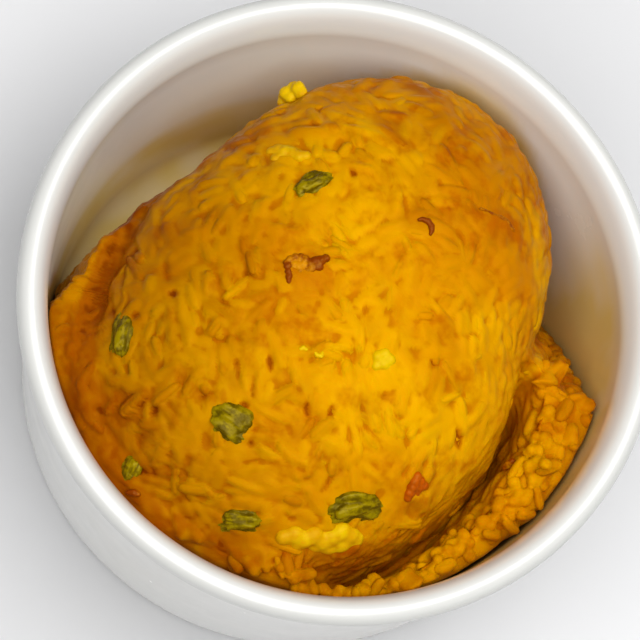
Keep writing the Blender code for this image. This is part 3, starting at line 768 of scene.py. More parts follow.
def tint_inside(bowl):
    """Marks the bowl's inside, and tints the wall above and beside the rice yellow: a thin layer of oil,
    with painted bounce light from the rice and painted shade low in the bowl.
    """
    points = vertex_values(bowl, "co")
    height = points[:, 2]
    out = out_from_axis(points)
    middle = 63.4 * MM + 0.08 * height
    inside = smooth_step((middle - out) / MM + 0.5) * (height > FLOOR_THICKNESS - MM)
    near_wall = np.minimum(0.96, 64 * MM / np.maximum(out, MM))
    rice = mound_height(points[:, 0] * near_wall, points[:, 1] * near_wall)
    above = height - np.maximum(rice, 30 * MM)
    touching = smooth_step(1.0 - above / (15 * MM))
    across, along, gap = beyond_foot(points)
    # Painted light: the yellow glow the rice throws on the wall beside the dome.
    beside = fall(height, 80, 16) * smooth_step(1.0 - gap / (42 * MM))
    beside = beside * rise(across, -10, 40) * fall(along, 62, 30)
    # The last share here is painted shade low in the bowl.
    film = np.maximum(touching, np.maximum(2.2 * beside, 0.42 * fall(height, 70, 44)))
    film = film * (0.9 + 0.3 * patch_noise(points, 9 * MM, 41))
    point_values(bowl, inside=inside, film=np.clip(film * inside, 0.0, 1.0))


def close_and_turn_out(piece, doubles=0.0):
    """Merges a piece's doubles, closes the holes on its axis and turns every face outward."""
    shape = bmesh.new()
    shape.from_mesh(piece.data)
    if doubles:
        bmesh.ops.remove_doubles(shape, verts=shape.verts, dist=doubles)
    bmesh.ops.holes_fill(shape, edges=[edge for edge in shape.edges if edge.is_boundary], sides=0)
    bmesh.ops.recalc_face_normals(shape, faces=shape.faces)
    if any(not edge.is_manifold for edge in shape.edges):
        raise RuntimeError(f"{piece.name} is not closed")
    shape.to_mesh(piece.data)
    shape.free()

# --- rice ---------------------------------------------------------------------------------------

# The bright middle of the rice in x and y, and how far off the rice is darkest on each side: painted
# shade, as the light falls off over the dome.
BRIGHT_MIDDLE = (10 * MM, -12 * MM)
DARK_LEFT, DARK_RIGHT = 66 * MM, 95 * MM
DARK_NEAR, DARK_FAR = 78 * MM, 135 * MM
CRUST_AND_SHADE = 0.52
GROOVE_DARKEST = 0.75
GROOVE_SHADE_DROP = 21 * MM

def toast_at(points):
    """How far the rice is darkened towards the crust colour at each place, most on the far right of the
    dome: browned crust with painted shade on its far side.
    """
    across, along = to_mound(points[:, 0], points[:, 1])
    return CRUST_AND_SHADE * (rise(along, -6, 36) * rise(across, -20, 40))


def browned_and_shade_at(points):
    """How far the rice is darkened at each place: painted shade away from the bright middle of the dome
    and near the wall on the left and near side, and random darker patches.
    """
    x = points[:, 0] - BRIGHT_MIDDLE[0]
    y = points[:, 1] - BRIGHT_MIDDLE[1]
    reach_x = np.where(x < 0, DARK_LEFT, DARK_RIGHT)
    reach_y = np.where(y < 0, DARK_NEAR, DARK_FAR)
    away = smooth_step((np.hypot(x / reach_x, y / reach_y) - 0.12) / 0.88)
    edge = rise(out_from_axis(points), 52, 12) * fall(points[:, 0], -12, 22)
    edge = 1.1 * edge * fall(points[:, 1], 4, 12)
    return away + edge + 0.5 * np.maximum(patch_noise(points, 6 * MM, 21), 0.0)


def groove_shade(points):
    """Painted shade deep in the groove and in the ledge's crease, and darker mottling near the wall on
    the left and near side.
    """
    across, along, outside = beyond_foot(points)
    there = (1.0 - rise(outside, 2.5, 4)) * rise(outside, -7, 6)
    low = smooth_step((BOWL_HEIGHT - GROOVE_SHADE_DROP - points[:, 2]) / (9 * MM))
    groove = GROOVE_DARKEST * rise(along, -24, 22) * there * low * rise(across, -10, 30)
    crease = smooth_step(1.4 - np.abs(outside - 1.8 * MM) / (2.8 * MM)) * fall(across, -38, 8)
    crease = crease * rise(along, -50, 14) * fall(along, 20, 12)
    crease = crease * (0.7 + 0.7 * patch_noise(points, 2.5 * MM, 52))
    stain = rise(out_from_axis(points), 54, 9) * fall(points[:, 0], -8, 14)
    stain = stain * fall(points[:, 1], 6, 10)
    stain = stain * np.maximum(0.2 + 0.7 * patch_noise(points, 3.0 * MM, 55), 0.0)
    return np.maximum(np.maximum(groove, crease), stain)


def looseness_at(points):
    """0 on the flat pressed crust, 1 on the loose rice round the foot, between them elsewhere."""
    across, along, outside = beyond_foot(points)
    crust = rise(along, -30, 50) * rise(across, -30, 45)
    foot = smooth_step(outside / (5 * MM)) * smooth_step(bed_presence(across, along) * 3 - 1)
    return np.maximum(0.45 - 0.4 * crust, foot * rise(across, -24, 20))


def crest_at(points):
    """1 on the crest of the loose rice, 0 in the groove and on the dome."""
    across, along, outside = beyond_foot(points)
    there = smooth_step(bed_presence(across, along) * 3 - 1) * rise(across, -5, 18)
    start = blend(4 * MM, 0.6 * MM, fall(along, -44, 10))
    return there * smooth_step((outside - start) / (3.5 * MM))


def ledge_at(points):
    """1 on the ledge at the left, whose rice is crumbled small."""
    across, along, outside = beyond_foot(points, DOME_NEAR_LEFT)
    return rise(outside, -1, 2.5) * fall(across, -40, 4) * fall(along, 24, 8)


def firm_at(sheet):
    """Where whole grains are pressed in: on the dome and the ledge, but not on its steep edge."""
    x, y = sheet.points[:, 0], sheet.points[:, 1]
    across, along = to_mound(x, y)
    side = fall(across, -44, 4)
    firm = 1.0 - smooth_step(sheet.crest * 2)
    firm = firm * (1.0 - side * smooth_step((0.6 - sheet.normals[:, 2]) / 0.2))
    firm = firm * (1.0 - side * rise(np.hypot(x, y), 64, 2) * (y > -8 * MM))
    return firm * (1.0 - sheet.ledge * smooth_step((0.96 - bed_presence(across, along)) / 0.12))


def ring_faces(counts):
    """Triangles between neighbouring rings, whose counts of points differ."""
    faces = []
    start = 0
    for inner, outer in zip(counts, counts[1:]):
        after = start + inner
        i = 0 if inner > 1 else 1
        k = 0
        while i < inner or k < outer:
            here = start + i % inner
            beyond = after + k % outer
            if k == outer or (i < inner and (i + 1) * outer <= (k + 1) * inner):
                i += 1
                faces.append((here, beyond, start + i % inner))
            else:
                k += 1
                faces.append((here, beyond, after + k % outer))
        start = after
    return faces


class Sheet:
    """Evenly spaced points on the mound's top, in rings from its middle to the bowl's wall."""

    def __init__(self):
        paths = mound_paths(SHEET_SPACING)
        rings = [paths[:1, 0]]
        for loop in np.moveaxis(paths, 1, 0)[1:]:
            loop = np.concatenate([loop, loop[:1]])
            run = np.concatenate([[0.0], np.cumsum(np.linalg.norm(np.diff(loop, axis=0), axis=1))])
            count = max(6, round(run[-1] / SHEET_SPACING))
            stops = np.linspace(0.0, run[-1], count, endpoint=False)
            rings.append(np.stack([np.interp(stops, run, loop[:, k]) for k in range(3)], axis=-1))
        self.counts = [len(ring) for ring in rings]
        self.points = np.concatenate(rings)
        self.loose = looseness_at(self.points)
        self.crest = crest_at(self.points)
        self.ledge = ledge_at(self.points)
        self.normals = mound_normals(self.points[:, 0], self.points[:, 1])
        swell = (patch_noise(self.points, SWELL_SIZE, 12) * 0.6 - 0.3) * MM
        self.points += self.normals * swell[:, None]
        self.faces = ring_faces(self.counts)
        corners = self.points[np.array(self.faces)]
        sides = np.cross(corners[:, 1] - corners[:, 0], corners[:, 2] - corners[:, 0])
        self.areas = np.zeros(len(self.points))
        for k in range(3):
            np.add.at(self.areas, np.array(self.faces)[:, k], np.linalg.norm(sides, axis=1) / 6)
        self.tree = tree_of(self.points)

    def nearest(self, spots):
        return np.array([self.tree.find(spot)[1] for spot in spots])


class Grains:
    """Grains laid on the sheet side by side: places, directions and sizes."""

    def __init__(self, sheet, rng, mask, cover, length, width, turn=0.0):
        self.sheet = sheet
        self.rng = rng
        open_area = sheet.areas * mask
        count = int(cover * open_area.sum() / (GRAIN_COVER_SHARE * length * width))
        picks = rng.choice(len(mask), count, replace=False, p=open_area / open_area.sum())
        ledge = sheet.ledge[picks]
        self.spots = sheet.points[picks].copy()
        self.normals = sheet.normals[picks]
        self.lengths = length * np.clip(rng.normal(1.0, LENGTH_SPREAD, count), 0.55, 1.55)
        self.lengths[rng.random(count) < BROKEN_SHARE] *= BROKEN_LENGTH
        self.widths = width * np.clip(rng.normal(1.0, WIDTH_SPREAD, count), 0.72, 1.35)
        drift = patch_noise(self.spots, 15 * MM, 6) * TURN_DRIFT
        angles = math.radians(turn) + drift + rng.normal(0.0, TURN_SPREAD, count)
        on_crest = sheet.crest[picks] > 0.3
        angles = np.where(on_crest, rng.uniform(0.0, math.tau, count), angles)
        self.lengths[on_crest] *= CREST_LENGTH
        self.lengths *= 1.0 - LEDGE_SHORTENING * ledge
        self.widths *= 1.0 - LEDGE_NARROWING * ledge
        lengthwise = math.pi / 2 + MOUND_TURN + rng.normal(0.0, 0.3, count)
        angles = blend(angles, lengthwise, ledge)
        heading = np.stack([np.cos(angles), np.sin(angles), 0.4 * np.sin(2 * angles)], axis=-1)
        self.ahead = along_surface(heading, self.normals)

    def settle(self, rounds, keep_outs, closeness=0.95):
        """Nudges the grains apart, along the surface, until they lie side by side."""
        for _ in range(rounds):
            reach = np.maximum(self.lengths - self.widths, 0.2 * MM)[:, None, None] / 2
            ends = np.array([-1.0, 0.0, 1.0])[None, :, None]
            flat = (self.spots[:, None] + self.ahead[:, None] * reach * ends).reshape(-1, 3)
            own = np.repeat(np.arange(len(self.spots)), 3)
            firsts, seconds = self.neighbours(flat, own)
            apart = flat[firsts] - flat[seconds]
            gap = np.maximum(np.linalg.norm(apart, axis=-1), 0.05 * MM)
            limit = (self.widths[own[firsts]] + self.widths[own[seconds]]) / 2 * closeness
            push = np.zeros_like(flat)
            np.add.at(push, firsts, apart * (np.maximum(limit - gap, 0.0) / gap * 0.4)[:, None])
            for space in keep_outs:
                push += pushed_out(flat, *space)
            push = push.reshape(-1, 3, 3)
            self.spots += push.mean(axis=1) * 1.3
            self.ahead = self.ahead + (push[:, 2] - push[:, 0]) / (2 * reach[:, 0]) * 0.8
            self.snap()

    def neighbours(self, flat, own):
        tree = tree_of(flat)
        pairs = []
        widest = float(self.widths.max())
        for index, mark in enumerate(flat):
            for _, other, _ in tree.find_range(mark, widest):
                if own[other] != own[index]:
                    pairs.append((index, other))
        return np.array(pairs, dtype=int).reshape(-1, 2).T

    def snap(self):
        """Brings the grains back onto the sheet and inside the bowl."""
        nearest = self.sheet.nearest(self.spots)
        self.normals = self.sheet.normals[nearest]
        off = np.sum((self.spots - self.sheet.points[nearest]) * self.normals, axis=-1)
        self.spots -= self.normals * off[:, None]
        self.ahead = along_surface(self.ahead, self.normals)
        hold_inside(self.spots, 0.45 * self.widths, 0.0)

    def thin(self, keep_outs):
        """Drops grains that still lie on a bit or mostly inside a neighbour."""
        tree = tree_of(self.spots)
        keep = np.ones(len(self.spots), dtype=bool)
        for index, spot in enumerate(self.spots):
            for _, other, _ in tree.find_range(spot, 0.55 * float(self.widths[index])):
                if other < index and keep[other]:
                    keep[index] = False
        for inward, outward, half in keep_outs:
            moved = pushed_out(self.spots, inward, outward, half * 0.8)
            keep &= np.linalg.norm(moved, axis=-1) < 0.05 * MM
        for label in ("spots", "normals", "ahead", "lengths", "widths"):
            setattr(self, label, getattr(self, label)[keep])

    def stand(self, raised, uneven, tilt):
        """Sets heights, leans, rolls and tones, once the grains lie in their places."""
        rng = self.rng
        count = len(self.spots)
        nearest = self.sheet.nearest(self.spots)
        loose = self.sheet.loose[nearest]
        ledge = self.sheet.ledge[nearest]
        self.heights = self.widths * rng.uniform(0.8, 1.0, count)
        lift = raised + rng.normal(0.0, 1.0, count) * uneven * (0.35 + loose)
        lift = lift - marks_at(self.spots)[0] - LEDGE_SINK * ledge
        self.centres = self.spots + self.normals * (lift - self.heights / 2)[:, None]
        lean = rng.normal(0.0, 1.0, count) * tilt * (0.25 + loose) * (1.0 - LEDGE_CALM * ledge)
        across = np.cross(self.normals, self.ahead)
        ahead = self.ahead * np.cos(lean)[:, None] + self.normals * np.sin(lean)[:, None]
        up = np.cross(ahead, across)
        roll = rng.normal(0.0, 0.25, count)
        self.ahead = unit(ahead)
        self.up = unit(up * np.cos(roll)[:, None] + across * np.sin(roll)[:, None])
        self.across = np.cross(self.up, self.ahead)
        tone = 0.5 + 0.9 * patch_noise(self.spots, 12 * MM, 8) + rng.normal(0.0, 0.2, count)
        odd = np.where(rng.random(count) < 0.07, rng.uniform(0.2, 0.6, count), 0.0)
        # Blotches bring browned and pale patches, with painted shade and painted light among them.
        blotch = blotches_at(self.spots)
        self.toast = np.clip(toast_at(self.spots) + odd + blotch, 0.0, 1.3)
        self.tone = np.clip(np.clip(tone, 0.0, 1.0) - np.minimum(blotch, 0.0), 0.0, 1.0)
        wall = inner_radius(np.minimum(self.centres[:, 2], BOWL_HEIGHT)) - 0.4 * self.widths
        for end in (-0.45, 0.45):
            tips = self.centres + self.ahead * (self.lengths * end)[:, None]
            out = out_from_axis(tips)
            over = np.maximum(out - wall, 0.0)
            self.centres[:, :2] -= tips[:, :2] / np.maximum(out, MM)[:, None] * over[:, None]


def space_round(matrix, half):
    """The matrices into and out of a place on the mound, and the half sizes kept clear there."""
    outward = np.array(matrix)
    return np.linalg.inv(outward), outward, np.array(half) * MM


def hand_spaces():
    """The room that each pale grain on top needs."""
    return [
        space_round(surface_frame(x * MM, y * MM, turn, 0.0), (length / 2, width / 2, HAND_ROOM))
        for x, y, length, width, turn, _ in PALE_GRAINS_AND_GLINTS
    ]


def bit_spaces():
    """The room that each bit needs; egg lets the grains come closer."""
    spaces = []
    for name, (_, _, length, width, height, _, _) in BITS.items():
        room = 0.72 if name.startswith("egg") else 1.0
        half = (length * 0.36 * room, width * 0.33 * room, height * 0.7)
        spaces.append(space_round(bit_frame(name), half))
    return spaces


def pushed_out(points, inward, outward, half):
    """For each point inside a kept space, the shift along the surface that takes it out."""
    local = points @ inward[:3, :3].T + inward[:3, 3]
    deep = np.linalg.norm(local / half, axis=-1)
    flat = np.maximum(np.linalg.norm(local[:, :2] / half[:2], axis=-1), 0.05)
    shift = np.where(deep < 1.0, 1.0 / flat - 1.0, 0.0)[:, None] * local
    shift[:, 2] = 0.0
    return np.clip(shift, -1.2 * MM, 1.2 * MM) @ outward[:3, :3].T


def laid_by_hand(sheet, rng):
    """The pale grains on top, each in its own place; some are painted highlights where glints are."""
    x, y, lengths, widths, turns, paleness = np.array(PALE_GRAINS_AND_GLINTS).T
    x, y, turns = x * MM, y * MM, np.radians(turns)
    grains = Grains(sheet, rng, np.ones(len(sheet.points)), 0.0, MM, MM)
    grains.spots = np.stack([x, y, mound_height(x, y)], axis=-1)
    grains.normals = sheet.normals[sheet.nearest(grains.spots)]
    heading = np.stack([np.cos(turns), np.sin(turns), np.zeros(len(turns))], axis=-1)
    grains.ahead = along_surface(heading, grains.normals)
    grains.lengths = lengths * MM
    grains.widths = widths * 1.15 * MM
    grains.snap()
    grains.stand(raised=0.5 * MM, uneven=0.05 * MM, tilt=0.02)
    grains.tone = paleness
    grains.toast = np.zeros(len(paleness))
    return grains


class RICEBOWL_OT_rice(bpy.types.Operator):
    """Lays the cooked grains and shapes the sticky core that rises between them"""

    bl_idname = "ricebowl.rice"
    bl_label = "Rice"

    def execute(self, context):
        settings = context.scene.ricebowl_rice
        rng = np.random.default_rng(settings.seed)
        sheet = Sheet()
        spaces = bit_spaces()
        length = settings.grain_length
        width = settings.grain_width
        firm = firm_at(sheet)
        pressed = Grains(sheet, rng, firm, 0.96, length, width, turn=100)
        pressed.settle(26, spaces)
        on_top = laid_by_hand(sheet, rng)
        pressed.thin(spaces + hand_spaces())
        pressed.stand(raised=0.36 * MM, uneven=0.26 * MM, tilt=0.1)
        under = Grains(sheet, rng, firm, 0.45, length, width, turn=20)
        under.settle(6, spaces)
        under.thin(spaces)
        under.stand(raised=-0.6 * MM, uneven=0.25 * MM, tilt=0.12)
        rough = firm * smooth_step((sheet.loose - 0.3) / 0.15) * 0.35
        loose = Grains(sheet, rng, rough + sheet.crest * 0.8, 0.35, length, width)
        loose.settle(10, spaces, closeness=1.3)
        loose.thin(spaces)
        loose.stand(raised=0.9 * MM, uneven=0.3 * MM, tilt=0.15)
        material = rice_material(settings)
        shape_rng = random.Random(settings.seed)
        shapes = [hand_made_grain(shape_rng) for _ in range(GRAIN_KINDS)]
        layers = {"pressed": pressed, "under": under, "loose": loose, "pale": on_top}
        for name, grains in layers.items():
            piece, kinds = join_grains(f"rice_grains_{name}", shapes, grains)
            tint_grains(piece, shapes, kinds, grains)
            hand_over(piece, "golden_rice", material)
        heap = rice_heap(sheet, rng, shapes, length * HEAP_GRAIN_SHARE, width, spaces)
        hand_over(heap, "golden_rice", material)
        core = rice_core(sheet, layers.values())
        hand_over(core, "golden_rice", material, "rice")
        return {"FINISHED"}


def rice_heap(sheet, rng, shapes, length, width, spaces):
    """The loose rice round the foot: layers of tumbled grains stuck into one lumpy heap."""
    places = smooth_step(sheet.crest * 2.5)
    layers = []
    for raised, cover in HEAP_LAYERS:
        grains = Grains(sheet, rng, places, cover, length, width * 1.15)
        grains.settle(6, spaces, closeness=1.1)
        grains.stand(raised, uneven=0.45 * MM, tilt=0.3)
        layers.append((join_grains("rice_heap", shapes, grains)[0], grains))
    only(*[piece for piece, _ in layers])
    bpy.ops.object.join()
    heap = named("rice_heap")
    melt(heap, HEAP_VOXEL)
    soften(heap, 3)
    points = vertex_values(heap, "co")
    across, along = to_mound(points[:, 0], points[:, 1])
    room = 1.0 * MM * angle_bump(np.arctan2(along, across), 0.0, math.radians(52))
    hold_inside(points, room)
    heap.data.vertices.foreach_set("co", points.ravel())
    heap.data.update()
    spots, tones, toasts = (
        np.concatenate([getattr(grains, label) for _, grains in layers])
        for label in ("centres", "tone", "toast")
    )
    tree = tree_of(spots)
    nearest = np.array([tree.find(point)[1] for point in points])
    # Painted shade in the heap's hollows.
    deep = smooth_step(hollow_depths(heap) / (0.6 * MM)) * 0.4
    point_values(
        heap,
        tone=tones[nearest],
        toast=toasts[nearest],
        deep=np.maximum(deep, groove_shade(points)),
        browned=browned_and_shade_at(points),
    )
    return heap


def hollow_depths(piece, rounds=10):
    """How far each point lies below the mesh's own smoothed surface."""
    points = vertex_values(piece, "co")
    count = len(points)
    ends = np.empty(len(piece.data.edges) * 2, dtype=np.int32)
    piece.data.edges.foreach_get("vertices", ends)
    firsts, seconds = ends[0::2], ends[1::2]
    links = np.bincount(ends, minlength=count).clip(1)[:, None]
    even = points
    for _ in range(rounds):
        total = [
            np.bincount(firsts, even[seconds, k], count) + np.bincount(seconds, even[firsts, k], count)
            for k in range(3)
        ]
        even = np.stack(total, axis=-1) / links
    return np.sum((even - points) * vertex_values(piece, "normal"), axis=-1)


def grain_width_share(share):
    """Half width of a grain at a share of its half length, against its middle."""
    return np.clip(1.0 - np.abs(share) ** GRAIN_END_POWER, 0.0, 1.0) ** GRAIN_END_BLUNT


def rice_core(sheet, layers):
    """The solid mound, its top following the grains with soft fillets between them."""
    points = sheet.points
    fusing = patch_noise(points, 7 * MM, 3)
    sink = (0.02 - 0.5 * fusing) * MM
    base = (-0.08 + 0.8 * fusing) * MM - 1.6 * MM * smooth_step(sheet.crest * 2)
    base += patch_noise(points, 1.9 * MM, 1) * 0.18 * MM
    sheet_marks, sheet_dark = marks_at(points)
    crumble = 0.5 * patch_noise(points, 2.6 * MM, 51) + 0.45 * patch_noise(points, 1.3 * MM, 53)
    base += crumble * sheet.ledge * MM
    base -= sheet_marks
    base += patch_noise(points, 1.0 * MM, 2) * 0.12 * MM
    total = np.exp(base / FILLET)
    # Blotches bring browned and pale patches, with painted shade and painted light among them.
    blotch = blotches_at(points)
    own_tone = 0.5 + 0.5 * patch_noise(points, 3 * MM, 4) - np.minimum(blotch, 0.0)
    tone = total * np.clip(own_tone, 0.0, 1.0)
    toast = total * np.clip(toast_at(points) + blotch, 0.0, 1.3)
    for grains in layers:
        for i in range(len(grains.centres)):
            found = sheet.tree.find_range(grains.centres[i], grains.lengths[i] / 2 + 0.8 * MM)
            if not found:
                continue
            near = np.array([index for _, index, _ in found], dtype=int)
            offset = points[near] - grains.centres[i]
            share = offset @ grains.ahead[i] * 2 / grains.lengths[i]
            beside = offset @ grains.across[i] * 2 / grains.widths[i]
            swell = grain_width_share(share) ** 2 - beside**2
            on = swell > 0
            top = np.sqrt(swell[on]) * grains.heights[i] / 2 - offset[on] @ grains.up[i]
            weight = np.exp(np.clip(top - sink[near[on]], -4 * MM, 4 * MM) / FILLET)
            total[near[on]] += weight
            tone[near[on]] += weight * grains.tone[i]
            toast[near[on]] += weight * grains.toast[i]
    height = FILLET * np.log(total)
    brink = sheet.ledge * smooth_step((0.8 - sheet.normals[:, 2]) / 0.25)
    height = np.minimum(height, blend(4 * MM, (0.4 + 0.8 * crumble) * MM, brink))
    top = points + sheet.normals * height[:, None]
    hold_inside(top, 0.0)
    verts = top.tolist()
    faces = list(sheet.faces)
    close_below(verts, faces, sheet.counts[-1])
    rest = len(verts) - len(top)
    core = mesh_piece("rice_core", verts, faces)
    close_and_turn_out(core)
    soften(core, 2)
    places = vertex_values(core, "co")
    # Painted shade: darker in the core's hollows, in the groove and in the slits and holes.
    hollow = smooth_step(hollow_depths(core) / (0.36 * MM))
    deep = np.maximum(hollow * 0.45, groove_shade(places))
    upper = slice(len(top))
    deep[upper] = np.maximum(deep[upper], sheet_dark * (0.35 + 0.9 * hollow[upper]))
    point_values(
        core,
        tone=np.concatenate([tone / total, np.full(rest, 0.5)]),
        toast=np.concatenate([toast / total, np.zeros(rest)]),
        deep=deep,
        browned=browned_and_shade_at(places),
    )
    return core


def close_below(verts, faces, count):
    """Carries the sheet's last ring down the bowl's wall and closes it over the floor."""
    edge = np.array(verts[-count:])
    floor = FLOOR_THICKNESS + WALL_GAP
    out = out_from_axis(edge)
    ring = np.arange(count)
    for share in CORE_DEPTHS:
        z = floor + (edge[:, 2] - floor) * share
        pull = np.minimum(inner_radius(z, WALL_GAP) / out, 1.0)
        upper = len(verts) - count + ring
        lower = upper + count
        verts += np.stack([edge[:, 0] * pull, edge[:, 1] * pull, z], axis=-1).tolist()
        faces += np.stack([upper, lower, np.roll(lower, -1), np.roll(upper, -1)], axis=-1).tolist()
    upper = len(verts) - count + ring
    verts.append((0.0, 0.0, floor))
    middle = np.full(count, len(verts) - 1)
    faces += np.stack([upper, middle, np.roll(upper, -1)], axis=-1).tolist()


def hand_made_grain(rng):
    """One cooked grain of unit size along X, as an array of points and a list of faces."""
    only()
    bpy.ops.mesh.primitive_uv_sphere_add(
        segments=GRAIN_SEGMENTS, ring_count=GRAIN_RINGS, radius=0.5, rotation=(0, math.pi / 2, 0)
    )
    grain = bpy.context.active_object
    apply_place()
    skew = rng.uniform(-0.12, 0.12)
    bow = rng.uniform(-0.14, 0.14)
    crease = rng.uniform(0.0, 0.10)
    for vert in grain.data.vertices:
        along = vert.co.x * 2
        round_share = math.sqrt(max(1.0 - along * along, 0.0))
        width = 0.0
        if round_share > 1e-3:
            width = float(grain_width_share(along)) * (1.0 + skew * along) / round_share
        vert.co.y = vert.co.y * width + bow * (1 - along * along) * 0.5
        vert.co.z *= width
        if vert.co.z > 0:
            vert.co.z *= 1.0 - crease * math.exp(-((vert.co.y / 0.12) ** 2))
    points = np.array([vert.co[:] for vert in grain.data.vertices])
    faces = [tuple(face.vertices) for face in grain.data.polygons]
    bpy.data.objects.remove(grain, do_unlink=True)
    return points, faces


def join_grains(name, shapes, grains):
    """One piece of all the laid grains, and the kind of each."""
    points = []
    faces = []
    kinds = grains.rng.integers(0, len(shapes), len(grains.centres))
    for i, kind in enumerate(kinds):
        first = len(shapes[0][0]) * i
        axes = [
            grains.ahead[i] * grains.lengths[i],
            grains.across[i] * grains.widths[i],
            grains.up[i] * grains.heights[i],
        ]
        points.append(grains.centres[i] + shapes[kind][0] @ np.array(axes))
        faces += [[first + corner for corner in face] for face in shapes[kind][1]]
    return mesh_piece(name, np.concatenate(points).tolist(), faces), kinds


def tint_grains(piece, shapes, kinds, grains):
    """Gives each grain its own tone, and painted shade on its foot where it sinks in between the others,
    in the slits and holes and in the groove.
    """
    each = len(shapes[0][0])
    places = vertex_values(piece, "co")
    heights = np.concatenate([shapes[kind][0][:, 2] for kind in kinds])
    low = smooth_step((0.35 - 2 * heights) / 0.8)
    shade = np.maximum(marks_at(places)[1] * (0.3 + 0.9 * low), groove_shade(places))
    point_values(
        piece,
        tone=np.repeat(grains.tone, each),
        toast=np.repeat(grains.toast, each),
        deep=np.maximum(low * 0.36, shade),
        browned=np.repeat(browned_and_shade_at(grains.spots), each),
    )


